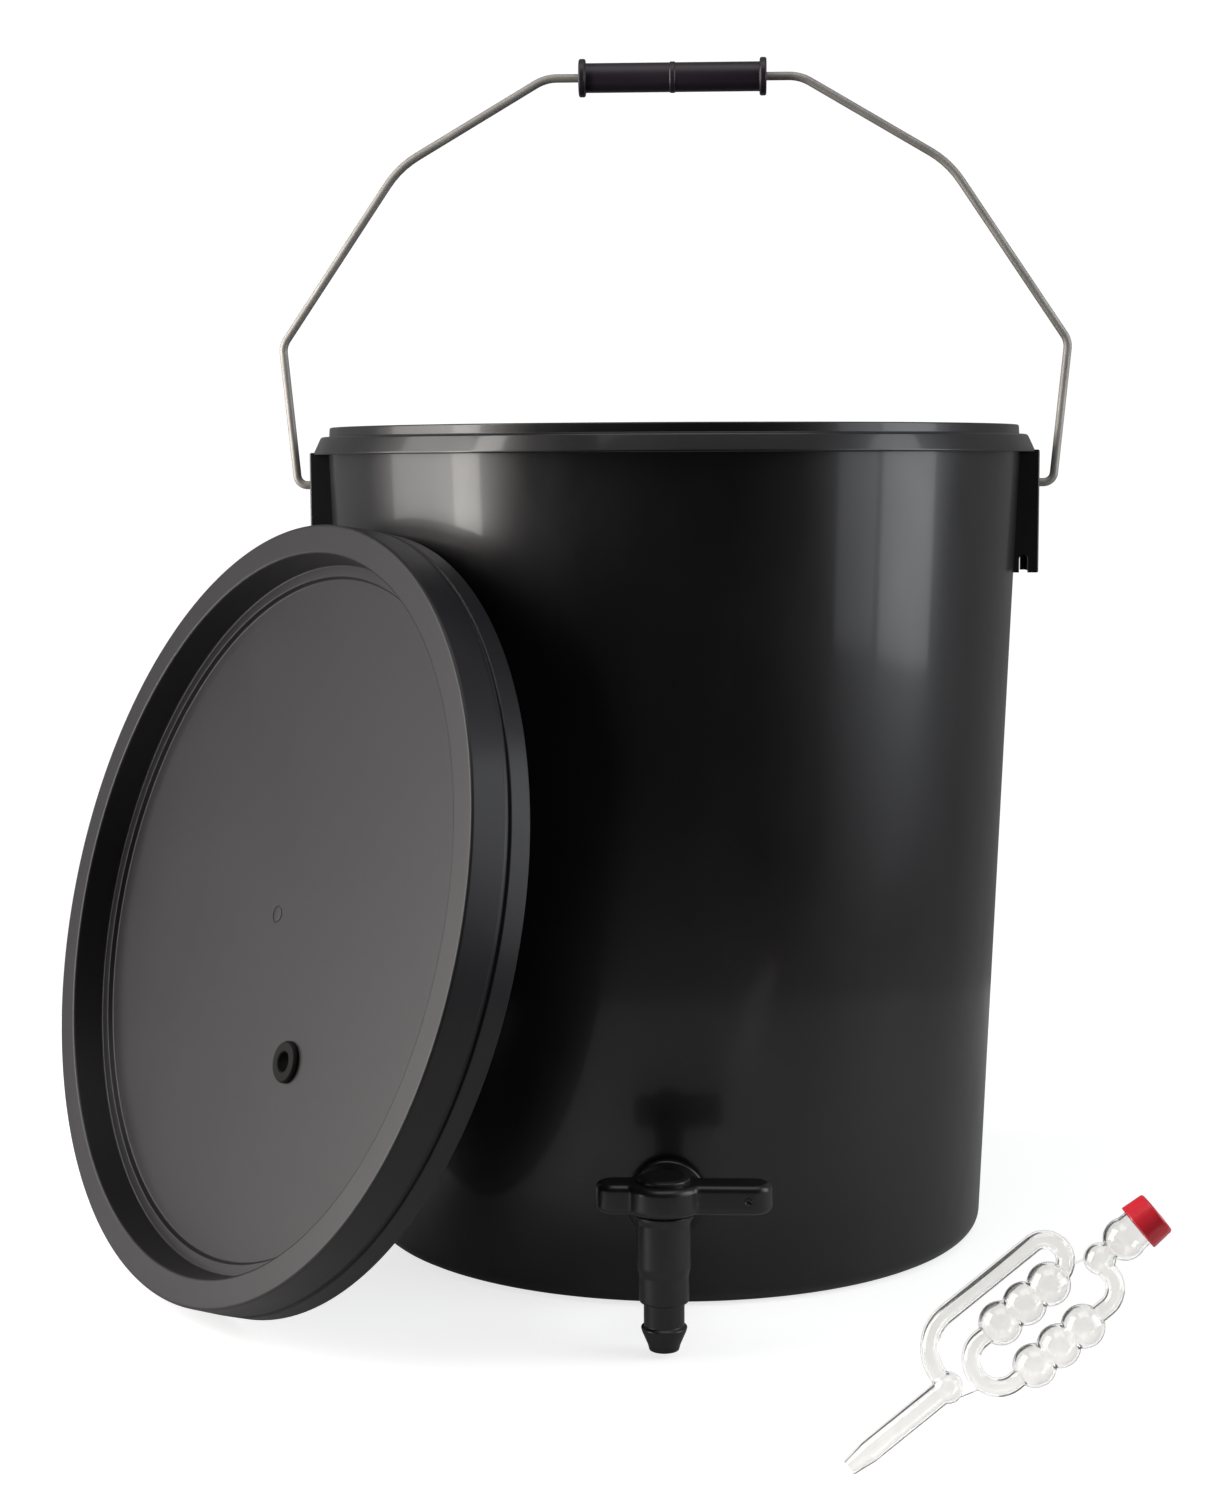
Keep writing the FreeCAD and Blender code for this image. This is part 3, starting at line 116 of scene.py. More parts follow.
# ---------------------------------------------------------------- mesh work
def of_kind(items: Sequence, kind: type) -> list:
    """Pick the vertices, edges or faces out of what an operator returned."""
    return [item for item in items if isinstance(item, kind)]


def stand(name: str, shape: object) -> bpy.types.Object:
    """Put new data into the scene as an object, at the origin and unturned."""
    item = bpy.data.objects.new(name, shape)
    bpy.context.scene.collection.objects.link(item)
    return item


def as_object(name: str, work: bmesh.types.BMesh) -> bpy.types.Object:
    """Make a finished bmesh into an object of the scene."""
    mesh = bpy.data.meshes.new(name)
    work.to_mesh(mesh)
    work.free()
    return stand(name, mesh)


class Moulding:
    """One mesh being modelled in millimetres, in a frame of its own."""

    def __init__(self, name: str) -> None:
        """Start an empty mesh."""
        self.name = name
        self.bm = bmesh.new()

    def swing(self, geom: list, centre: Sequence[float], axis: Sequence[float], angle: float,
              steps: int, merge: bool = False) -> list:
        """Spin vertices and edges about an axis.

        Args:
            geom: what to spin.
            centre: a point of the axis.
            axis: its direction.
            angle: how far, in radians.
            steps: divisions.
            merge: True to close a full turn.

        Returns:
            The vertices and edges at the end of the turn.
        """
        return bmesh.ops.spin(
            self.bm, geom=geom, cent=centre, axis=axis, dvec=(0.0, 0.0, 0.0), angle=angle,
            steps=steps, use_merge=merge, use_normal_flip=False, use_duplicate=False)["geom_last"]

    def draw_out(self, edges: list, run: Sequence[float]) -> None:
        """Fill a closed outline and draw it out into a solid.

        Args:
            edges: the outline's edges.
            run: how far and which way.
        """
        sheet = bmesh.ops.contextual_create(self.bm, geom=edges)["faces"]
        drawn = bmesh.ops.extrude_face_region(self.bm, geom=sheet)["geom"]
        bmesh.ops.translate(self.bm, vec=run, verts=of_kind(drawn, bmesh.types.BMVert))

    def soften_edges(self, edges: list, offset: float, segments: int) -> None:
        """Round edges over.

        Args:
            edges: the edges.
            offset: size of the rounding.
            segments: divisions of the rounding.
        """
        bmesh.ops.bevel(
            self.bm, geom=edges, offset=offset, offset_type="OFFSET", segments=segments,
            profile=0.5, affect="EDGES", material=-1)

    def round_corner(self, vert: bmesh.types.BMVert, radius: float) -> None:
        """Round one corner of an outline.

        Args:
            vert: the corner.
            radius: its rounding.
        """
        one, two = [(edge.other_vert(vert).co - vert.co).normalized() for edge in vert.link_edges]
        half = one.angle(two) / 2.0
        bend = math.pi - 2.0 * half
        bmesh.ops.bevel(
            self.bm, geom=[vert], offset=radius / math.tan(half), offset_type="OFFSET",
            segments=max(3, round(bend / math.radians(11.0))), profile=0.5,
            affect="VERTICES", material=-1, clamp_overlap=False)

    def outline(self, corners: Outline, pitch: float = 0.0, loop: bool = True) -> list:
        """Draw an outline in the XZ plane.

        Args:
            corners: (across, up) or (across, up, rounding) of each corner.
            pitch: longest run left undivided, or 0 to divide none.
            loop: True to close the outline.

        Returns:
            The outline's vertices and edges.
        """
        before = set(self.bm.verts)
        verts = [self.bm.verts.new((corner[0], 0.0, corner[1])) for corner in corners]
        ends = verts[1:] + verts[:1] if loop else verts[1:]
        for start, end in zip(verts, ends):
            self.bm.edges.new((start, end))
        for vert, corner in zip(verts, corners):
            if len(corner) > 2:
                self.round_corner(vert, corner[2])
        fresh = [edge for edge in self.bm.edges if edge.verts[0] not in before]
        for edge in fresh:
            cuts = int(edge.calc_length() / pitch) if pitch else 0
            if cuts:
                bmesh.ops.subdivide_edges(self.bm, edges=[edge], cuts=cuts)
        verts = [vert for vert in self.bm.verts if vert not in before]
        return verts + [edge for edge in self.bm.edges if edge.verts[0] not in before]

    def turn(self, corners: Outline, steps: int = 160, pitch: float = 0.0,
             loop: bool = True) -> None:
        """Turn an outline into a round shape about Z.

        Args:
            corners: the outline, as for outline().
            steps: divisions of the full turn.
            pitch: longest run of the outline left undivided.
            loop: True for a ring, False for an outline that ends on the axis.
        """
        self.swing(self.outline(corners, pitch, loop), (0.0, 0.0, 0.0), UP, math.tau, steps,
                   merge=True)

    def bar(self, route: Outline, radius: float, sides: int = 28) -> None:
        """Draw a closed round bar along straight runs and bends in the XZ plane.

        Args:
            route: (across, up) of the ends and (across, up, bend radius) of the corners.
            radius: the bar's radius.
            sides: sides of its section.
        """
        spots = [Vector((corner[0], 0.0, corner[1])) for corner in route]
        heading = (spots[1] - spots[0]).normalized()
        place = Matrix.Translation(spots[0]) @ heading.to_track_quat("Z", "Y").to_matrix().to_4x4()
        verts = bmesh.ops.create_circle(
            self.bm, cap_ends=False, segments=sides, radius=radius, matrix=place)["verts"]
        ring = list({edge for vert in verts for edge in vert.link_edges})
        first = list(ring)
        at = spots[0]
        for corner, after, spec in zip(spots[1:-1], spots[2:], route[1:-1]):
            back = (at - corner).normalized()
            ahead = (after - corner).normalized()
            half = back.angle(ahead) / 2.0
            enter = corner + back * spec[2] / math.tan(half)
            ring = self._straight(ring, enter - at)
            centre = corner + (back + ahead).normalized() * spec[2] / math.sin(half)
            axis = (-back).cross(ahead).normalized()
            angle = math.pi - 2.0 * half
            steps = max(4, round(angle / math.radians(5.0)))
            ring = of_kind(self.swing(ring, centre, axis, angle, steps), bmesh.types.BMEdge)
            at = corner + ahead * spec[2] / math.tan(half)
        ring = self._straight(ring, spots[-1] - at)
        bmesh.ops.edgeloop_fill(self.bm, edges=first)
        bmesh.ops.edgeloop_fill(self.bm, edges=ring)

    def _straight(self, ring: list, run: Vector) -> list:
        """Carry a ring of edges along a straight run, and return the new ring."""
        made = bmesh.ops.extrude_edge_only(self.bm, edges=ring)["geom"]
        verts = of_kind(made, bmesh.types.BMVert)
        bmesh.ops.translate(self.bm, vec=run, verts=verts)
        moved = set(verts)
        return [edge for edge in of_kind(made, bmesh.types.BMEdge) if moved.issuperset(edge.verts)]

    def block(self, low: Sequence[float], high: Sequence[float]) -> list:
        """Add a box between two corners, and return its vertices."""
        middle = (Vector(low) + Vector(high)) / 2.0
        spread = Vector(high) - Vector(low)
        place = Matrix.Translation(middle) @ Matrix.Diagonal((*spread, 1.0))
        return bmesh.ops.create_cube(self.bm, size=1.0, matrix=place)["verts"]

    def done(self, place: Matrix = Matrix.Identity(4), crease: Optional[float] = 32.0
             ) -> bpy.types.Object:
        """Clean the mesh, put it in its place and make its object.

        Args:
            place: where it goes, in millimetres.
            crease: angle in degrees past which an edge is sharp, or None for a tool shape.

        Returns:
            The finished object, at the origin, unturned and unscaled.
        """
        bmesh.ops.remove_doubles(self.bm, verts=self.bm.verts, dist=1e-3)
        bmesh.ops.recalc_face_normals(self.bm, faces=self.bm.faces)
        bmesh.ops.transform(self.bm, matrix=Matrix.Scale(MM, 4) @ place, verts=self.bm.verts)
        piece = as_object(self.name, self.bm)
        if crease is not None:
            soften(piece, crease)
        return piece


def soften(piece: bpy.types.Object, crease: float) -> None:
    """Shade a piece smooth up to a crease angle, with its flat faces kept flat.

    Args:
        piece: the piece.
        crease: the angle in degrees.
    """
    mesh = piece.data
    mesh.polygons.foreach_set("use_smooth", [True] * len(mesh.polygons))
    mesh.set_sharp_from_angle(angle=math.radians(crease))
    piece.modifiers.clear()
    even = piece.modifiers.new("even_faces", "WEIGHTED_NORMAL")
    even.keep_sharp = True


def carve(piece: bpy.types.Object, tool: bpy.types.Object, crease: float) -> None:
    """Cut a tool shape out of a piece, and take the tool away.

    Args:
        piece: the piece to change.
        tool: the tool shape.
        crease: crease angle of the result, in degrees.
    """
    piece.modifiers.clear()
    work = piece.modifiers.new("work", "BOOLEAN")
    work.object = tool
    work.operation = "DIFFERENCE"
    work.solver = "EXACT"
    graph = bpy.context.evaluated_depsgraph_get()
    mesh = bpy.data.meshes.new_from_object(piece.evaluated_get(graph))
    piece.modifiers.clear()
    piece.data = mesh
    bpy.data.objects.remove(tool)
    soften(piece, crease)


def rod(centre: Sequence[float], axis: Sequence[float], radius: float, length: float,
        place: Matrix = Matrix.Identity(4), sides: int = 64) -> bpy.types.Object:
    """Make a round tool shape.

    Args:
        centre: its middle.
        axis: its direction.
        radius: its radius.
        length: its length.
        place: where its frame goes.
        sides: sides of its section.

    Returns:
        The tool, ready for carve().
    """
    tool = Moulding("tool")
    turned = Vector(axis).to_track_quat("Z", "Y").to_matrix().to_4x4()
    bmesh.ops.create_cone(
        tool.bm, cap_ends=True, segments=sides, radius1=radius, radius2=radius, depth=length,
        matrix=Matrix.Translation(Vector(centre)) @ turned)
    return tool.done(place, crease=None)


def recast(node: str, name: str, crease: float) -> bpy.types.Object:
    """Copy a node of the frame as one joined, smoothly shaded mesh.

    Args:
        node: the frame's node.
        name: the new piece's name.
        crease: crease angle in degrees.

    Returns:
        The new piece.
    """
    joined = bmesh.new()
    joined.from_mesh(frame["nodes"][node].data)
    bmesh.ops.remove_doubles(joined, verts=joined.verts, dist=1e-6)
    piece = as_object(name, joined)
    soften(piece, crease)
    return piece


# ---------------------------------------------------------------- finishes
class Nodes:
    """A node tree being filled."""

    def __init__(self, tree: bpy.types.NodeTree) -> None:
        """Take the tree to fill."""
        self.tree = tree

    def add(self, kind: str, **settings: object) -> bpy.types.Node:
        """Add a node and set its properties."""
        node = self.tree.nodes.new(kind)
        for key, value in settings.items():
            setattr(node, key, value)
        return node

    def link(self, start: bpy.types.NodeSocket, end: bpy.types.NodeSocket) -> None:
        """Join two sockets."""
        self.tree.links.new(start, end)

    def math(self, operation: str, *values: bpy.types.NodeSocket) -> bpy.types.NodeSocket:
        """Work one or two values out into another."""
        node = self.add("ShaderNodeMath", operation=operation)
        for value, socket in zip(values, node.inputs):
            self.link(value, socket)
        return node.outputs[0]

    def axis(self, where: bpy.types.NodeSocket, name: str) -> bpy.types.NodeSocket:
        """Take one axis out of coordinates."""
        node = self.add("ShaderNodeSeparateXYZ")
        self.link(where, node.inputs["Vector"])
        return node.outputs[name]

    def seen(self) -> bpy.types.NodeSocket:
        """Return 1 where a thing is looked at, plainly or through clear plastic, or else 0."""
        path = self.add("ShaderNodeLightPath")
        return self.math("MAXIMUM", path.outputs["Is Camera Ray"],
                         path.outputs["Is Transmission Ray"])

    def spread(self, value: bpy.types.NodeSocket, low: float, high: float,
               start: float = 0.3, end: float = 0.7) -> bpy.types.NodeSocket:
        """Map a value from one range to another.

        Args:
            value: what to map.
            low: result at start.
            high: result at end.
            start: value that gives low.
            end: value that gives high.

        Returns:
            The mapped value.
        """
        node = self.add("ShaderNodeMapRange")
        limits = {"From Min": start, "From Max": end, "To Min": low, "To Max": high}
        for key, number in limits.items():
            node.inputs[key].default_value = number
        self.link(value, node.inputs["Value"])
        return node.outputs["Result"]


class Recipe(Nodes):
    """The nodes of one material, in the frame of the piece that it covers."""

    def __init__(self, name: str, place: Matrix) -> None:
        """Start a material.

        Args:
            name: the material's name.
            place: the piece's own frame in millimetres, which centres the patterns.
        """
        self.material = bpy.data.materials.new(name)
        self.material.use_nodes = True
        super().__init__(self.material.node_tree)
        self.shader = self.tree.nodes["Principled BSDF"]
        turned = place.to_3x3().inverted()
        self.spot = self.add("ShaderNodeMapping")
        self.spot.inputs["Rotation"].default_value = turned.to_euler("XYZ")
        self.spot.inputs["Location"].default_value = -(turned @ (place.translation * MM))
        self.link(self.add("ShaderNodeTexCoord").outputs["Object"], self.spot.inputs["Vector"])
        self.here = self.spot.outputs["Vector"]
        self.normal = None

    def stretched(self, scale: Sequence[float]) -> bpy.types.NodeSocket:
        """Return the piece's own coordinates, stretched along its axes."""
        node = self.add("ShaderNodeMapping")
        node.inputs["Scale"].default_value = scale
        self.link(self.here, node.inputs["Vector"])
        return node.outputs["Vector"]

    def noise(self, scale: float, detail: float = 3.0, rough: float = 0.5,
              where: Optional[bpy.types.NodeSocket] = None) -> bpy.types.NodeSocket:
        """Add a noise pattern.

        Args:
            scale: cells per metre.
            detail: octaves.
            rough: weight of the finer octaves.
            where: coordinates, or None for the piece's own.

        Returns:
            The noise's value.
        """
        node = self.add("ShaderNodeTexNoise")
        node.inputs["Scale"].default_value = scale
        node.inputs["Detail"].default_value = detail
        node.inputs["Roughness"].default_value = rough
        self.link(where or self.here, node.inputs["Vector"])
        return node.outputs["Fac"]

    def cells(self, scale: float) -> bpy.types.NodeSocket:
        """Add a cell pattern, and return its grey value per cell."""
        node = self.add("ShaderNodeTexVoronoi")
        node.inputs["Scale"].default_value = scale
        self.link(self.here, node.inputs["Vector"])
        split = self.add("ShaderNodeSeparateColor")
        self.link(node.outputs["Color"], split.inputs["Color"])
        return split.outputs["Red"]

    def blend(self, factor: bpy.types.NodeSocket, one: Colour, two: Colour) -> bpy.types.NodeSocket:
        """Blend two colours by a value."""
        node = self.add("ShaderNodeMix", data_type="RGBA")
        node.inputs[6].default_value = (*one, 1.0)
        node.inputs[7].default_value = (*two, 1.0)
        self.link(factor, node.inputs[0])
        return node.outputs[2]

    def relief(self, height: bpy.types.NodeSocket, depth: float) -> None:
        """Raise the surface by a pattern.

        Args:
            height: the pattern, from 0 to 1.
            depth: its height in millimetres.
        """
        node = self.add("ShaderNodeBump")
        node.inputs["Strength"].default_value = 1.0
        node.inputs["Distance"].default_value = depth * MM
        self.link(height, node.inputs["Height"])
        if self.normal is not None:
            self.link(self.normal, node.inputs["Normal"])
        self.normal = node.outputs["Normal"]

    def rings(self, pitch: float) -> bpy.types.NodeSocket:
        """Return a wave of rings about the piece's Z axis, one every pitch millimetres."""
        flat = self.stretched((1.0, 1.0, 0.0))
        reach = self.add("ShaderNodeVectorMath", operation="LENGTH")
        self.link(flat, reach.inputs[0])
        turns = self.add("ShaderNodeMath", operation="MULTIPLY")
        turns.inputs[1].default_value = math.tau / (pitch * MM)
        self.link(reach.outputs["Value"], turns.inputs[0])
        return self.spread(self.math("SINE", turns.outputs[0]), 0.0, 1.0, -1.0, 1.0)

    def set(self, **values: object) -> None:
        """Set sockets of the shader that are the same all over."""
        for key, value in values.items():
            self.shader.inputs[key.replace("_", " ")].default_value = value

    def finish(self, colour: bpy.types.NodeSocket, rough: bpy.types.NodeSocket
               ) -> bpy.types.Material:
        """Wire the last sockets and return the material."""
        self.link(colour, self.shader.inputs["Base Color"])
        self.link(rough, self.shader.inputs["Roughness"])
        if self.normal is not None:
            self.link(self.normal, self.shader.inputs["Normal"])
        return self.material


@dataclass(frozen=True)
class Plastic:
    """A moulded plastic or rubber."""

    name: str
    deep: Colour
    pale: Colour
    rough: tuple[float, float]
    grain: float = 0.012
    grain_scale: float = 2200.0
    wave: float = 0.0
    wave_scale: float = 16.0
    draw: float = 0.0
    ring: float = 0.0
    ring_pitch: float = 3.0
    specular: float = 0.5
    coat: float = 0.0
    coat_rough: float = 0.06
    deep_glow: float = 0.0

    def make(self, place: Matrix) -> bpy.types.Material:
        """Make the material in the frame of one piece."""
        recipe = Recipe(self.name, place)
        cloud = recipe.noise(11.0, 5.0, 0.6)
        speck = recipe.noise(420.0, 2.0)
        mottle = recipe.math("ADD", recipe.spread(cloud, 0.0, 0.7), recipe.spread(speck, 0.0, 0.3))
        colour = recipe.blend(mottle, self.deep, self.pale)
        smudge = recipe.noise(24.0, 6.0, 0.62, recipe.stretched((1.0, 1.0, 0.45)))
        rough = recipe.spread(smudge, self.rough[0], self.rough[1])
        if self.wave:
            recipe.relief(recipe.noise(self.wave_scale, 1.0), self.wave)
        if self.draw:
            along = recipe.stretched((1.0, 1.0, 0.06))
            recipe.relief(recipe.noise(60.0, 3.0, 0.5, along), self.draw)
        if self.ring:
            recipe.relief(recipe.rings(self.ring_pitch), self.ring)
        recipe.relief(recipe.noise(self.grain_scale, 2.0), self.grain)
        recipe.set(IOR=1.49, Specular_IOR_Level=self.specular, Coat_Weight=self.coat,
                   Coat_Roughness=self.coat_rough)
        if self.deep_glow:
            recipe.set(Subsurface_Weight=self.deep_glow, Subsurface_Scale=2.0 * MM)
        return recipe.finish(colour, rough)


@dataclass(frozen=True)
class Galvanised:
    """Zinc-coated steel wire."""

    name: str
    dull: Colour
    bright: Colour
    rough: tuple[float, float]

    def make(self, place: Matrix) -> bpy.types.Material:
        """Make the material in the frame of one piece."""
        recipe = Recipe(self.name, place)
        spangle = recipe.cells(150.0)
        stain = recipe.noise(45.0, 3.0, 0.5)
        mottle = recipe.math("ADD", recipe.spread(spangle, 0.0, 0.12, 0.0, 1.0),
                             recipe.spread(stain, 0.0, 0.75))
        colour = recipe.blend(mottle, self.dull, self.bright)
        rough = recipe.spread(recipe.noise(60.0, 2.0), self.rough[0], self.rough[1])
        recipe.set(Metallic=0.7)
        return recipe.finish(colour, rough)


@dataclass(frozen=True)
class Clear:
    """A clear, thinly moulded plastic with a weld line round its middle plane."""

    name: str
    tint: Colour
    haze: Colour
    rough: tuple[float, float]

    def make(self, place: Matrix) -> bpy.types.Material:
        """Make the material in the frame of one piece."""
        recipe = Recipe(self.name, place)
        cloud = recipe.noise(90.0, 3.0)
        colour = recipe.blend(recipe.spread(cloud, 0.0, 1.0), self.tint, self.haze)
        rough = recipe.spread(recipe.noise(140.0, 4.0), self.rough[0], self.rough[1])
        recipe.relief(recipe.noise(120.0, 1.0), 0.012)
        side = recipe.math("ABSOLUTE", recipe.axis(recipe.here, "Y"))
        seam = recipe.spread(side, 1.0, 0.0, 0.0, 0.35 * MM)
        recipe.relief(seam, 0.03)
        recipe.set(Transmission_Weight=1.0, IOR=1.16, Coat_Weight=1.0, Coat_IOR=1.5,
                   Coat_Roughness=0.03)
        return recipe.finish(colour, rough)


GLOSS_BLACK = Plastic("gloss_black_plastic", (0.0032, 0.0026, 0.0034), (0.0052, 0.0045, 0.0055),
                      (0.30, 0.40), wave=0.07, wave_scale=14.0, draw=0.004, grain=0.002,
                      coat=0.22, coat_rough=0.08)
SATIN_BLACK = Plastic("satin_black_plastic", (0.0118, 0.0109, 0.0126), (0.0146, 0.0136, 0.0155),
                      (0.40, 0.46), grain=0.008, ring=0.002, ring_pitch=2.4, wave=0.02,
                      coat=0.10, coat_rough=0.20, specular=0.30)
TAP_BLACK = Plastic("tap_black_plastic", (0.007, 0.006, 0.007), (0.012, 0.011, 0.012),
                    (0.26, 0.38), grain=0.004, wave=0.04, wave_scale=60.0)
GRIP_PURPLE_BLACK = Plastic("grip_purple_black_plastic", (0.012, 0.007, 0.013),
                            (0.018, 0.011, 0.019), (0.36, 0.48), grain=0.010, wave=0.03,
                            wave_scale=80.0)
RUBBER = Plastic("black_rubber_skin", (0.004, 0.004, 0.004), (0.009, 0.009, 0.009),
                 (0.66, 0.82), grain=0.010, specular=0.15)
RED = Plastic("red_cap_plastic", (0.62, 0.020, 0.034), (0.72, 0.034, 0.052), (0.16, 0.26),
              grain=0.003, wave=0.03, wave_scale=120.0, deep_glow=0.15)
ZINC = Galvanised("zinc_coated_steel", (0.30, 0.288, 0.27), (0.42, 0.402, 0.375), (0.54, 0.64))
CLEAR = Clear("clear_moulded_plastic", (0.905, 0.900, 0.885), (0.860, 0.855, 0.840), (0.01, 0.05))


def dress(piece: bpy.types.Object, finish: object, body: str,
          nodes: Sequence[str] = (), place: Matrix = Matrix.Identity(4)) -> None:
    """Give a piece its finish and its body, and hide the frame's nodes that it stands for.

    Args:
        piece: the piece.
        finish: what it is made of.
        body: the body that it rides on.
        nodes: the frame's nodes that it replaces.
        place: the frame that centres its patterns.
    """
    piece.data.materials.clear()
    piece.data.materials.append(finish.make(place))
    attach(piece, body)
    if nodes:
        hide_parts(*nodes)
    LOG.info("%s rides on %s, %d faces", piece.name, body, len(piece.data.polygons))


# ---------------------------------------------------------------- bucket
@dataclass
class Bucket:
    """The bucket: one moulding with wall, base, lip, rim band and two ears. Millimetres."""

    pivot_up: float
    tap_up: float
    height: float = 387.0
    foot_r: float = 149.4
    top_r: float = 165.6
    wall: float = 2.4
    base: float = 3.0
    base_ring: tuple[float, float, float] = (118.0, 123.0, 0.9)
    foot_round: float = 8.0
    inner_round: float = 5.5
    lip_r: float = 164.8
    lip_thick: float = 2.2
    lip_tall: float = 4.4
    band_top_r: float = 168.6
    band_r: float = 172.5
    band_drop: float = 12.7
    band_thick: float = 2.2
    ear_tall: float = 57.0
    ear_wide: float = 36.0
    ear_out: float = 173.6
    ear_plate: float = 2.6
    ear_floor: float = 166.4
    slot_in: float = 164.4
    slot_wide: float = 4.2
    slot_tall: float = 8.4
    wire_hole_r: float = 2.06
    tap_hole_r: float = 13.7

    def outer(self, height: float) -> float:
        """Outside radius of the wall at a height."""
        return self.foot_r + (self.top_r - self.foot_r) * height / self.height

    def inner(self, height: float) -> float:
        """Inside radius of the wall at a height."""
        low = self.outer(self.base) - self.wall
        high = self.lip_r - self.lip_thick
        return low + (high - low) * (height - self.base) / (self.height - self.base)

    def profile(self) -> Outline:
        """Outline of the wall and base, from the axis outside round to the axis inside."""
        shoulder = self.height - self.lip_tall
        under = shoulder - self.band_thick
        band_foot = self.height - self.band_drop
        inner, outer, deep = self.base_ring
        return [
            (0.0, 0.6), (3.4, 0.6, 0.3), (4.2, 0.0, 0.3),
            (inner, 0.0, 0.4), (inner + 0.9, deep, 0.4),
            (outer - 0.9, deep, 0.4), (outer, 0.0, 0.4),
            (self.foot_r, 0.0, self.foot_round),
            (self.outer(under), under, 0.7),
            (self.band_top_r - self.band_thick, under, 1.0),
            (self.band_r - self.band_thick, band_foot, 0.4),
            (self.band_r, band_foot, 0.8),
            (self.band_top_r, shoulder, 1.7),
            (self.lip_r, shoulder, 0.5),
            (self.lip_r - 0.3, self.height, 0.75),
            (self.lip_r - self.lip_thick, self.height, 0.75),
            (self.inner(self.base), self.base, self.inner_round),
            (0.0, self.base),
        ]

    def build_shell(self) -> bpy.types.Object:
        """Turn the shell and cut the hole for the tap."""
        shell = Moulding("bucket_wall")
        shell.turn(self.profile(), steps=288, pitch=6.0, loop=False)
        piece = shell.done(crease=40.0)
        hole = rod((0.0, -self.foot_r, self.tap_up), (0.0, 1.0, 0.0), self.tap_hole_r, 20.0)
        carve(piece, hole, crease=40.0)
        return piece

    def build_ear(self, name: str, place: Matrix) -> bpy.types.Object:
        """Build one ear: a hollow box, open below, with a slot and a hole for the wire.

        Args:
            name: the ear's name.
            place: which side it goes.

        Returns:
            The ear.
        """
        top = self.height - self.band_drop + 1.0
        foot = self.height - self.band_drop - self.ear_tall
        half = self.ear_wide / 2.0
        ear = Moulding(name)
        ear.block((self.ear_floor, -half, foot), (self.ear_out, half, top))
        for vert in ear.bm.verts:
            if vert.co.x < self.ear_out - 1.0:
                middle = (self.outer(vert.co.z) + self.inner(vert.co.z)) / 2.0
                vert.co.x = middle - 0.5
        outside = [edge for edge in ear.bm.edges
                   if min(vert.co.x for vert in edge.verts) > self.ear_out - 0.1]
        ear.soften_edges(outside, 0.9, 4)
        piece = ear.done(place, crease=30.0)
        hollow = Moulding("hollow")
        plate = self.ear_plate
        hollow.block((self.ear_floor, -half + plate, foot - 1.0),
                     (self.ear_out - plate, half - plate, top - 1.0 - plate))
        upright = [edge for edge in hollow.bm.edges
                   if abs(edge.verts[0].co.z - edge.verts[1].co.z) > 1.0]
        hollow.soften_edges(upright, 0.5, 3)
        carve(piece, hollow.done(place, crease=None), crease=30.0)
        slot = Moulding("slot")
        inside, outside = self.slot_in, self.slot_in + self.slot_wide
        crown = self.slot_wide / 2.0 - 0.02
        edges = slot.outline([
            (inside, foot - 1.0), (outside, foot - 1.0),
            (outside, foot + self.slot_tall, crown), (inside, foot + self.slot_tall, crown),
        ])
        bmesh.ops.translate(slot.bm, vec=(0.0, -half - 1.0, 0.0), verts=slot.bm.verts)
        slot.draw_out(of_kind(edges, bmesh.types.BMEdge), (0.0, self.ear_wide + 2.0, 0.0))
        carve(piece, slot.done(place, crease=None), crease=30.0)
        hole = rod((self.ear_out, 0.0, self.pivot_up), (1.0, 0.0, 0.0), self.wire_hole_r,
                   plate * 3.0, place, sides=40)
        carve(piece, hole, crease=30.0)
        return piece

    def build(self) -> None:
        """Build the shell and both ears."""
        dress(self.build_shell(), GLOSS_BLACK, "bucket", ("bucket_shell",))
        for name, turn in (("ear_right", 0.0), ("ear_left", math.pi)):
            place = Matrix.Rotation(turn, 4, "Z")
            dress(self.build_ear(name, place), GLOSS_BLACK, "bucket")


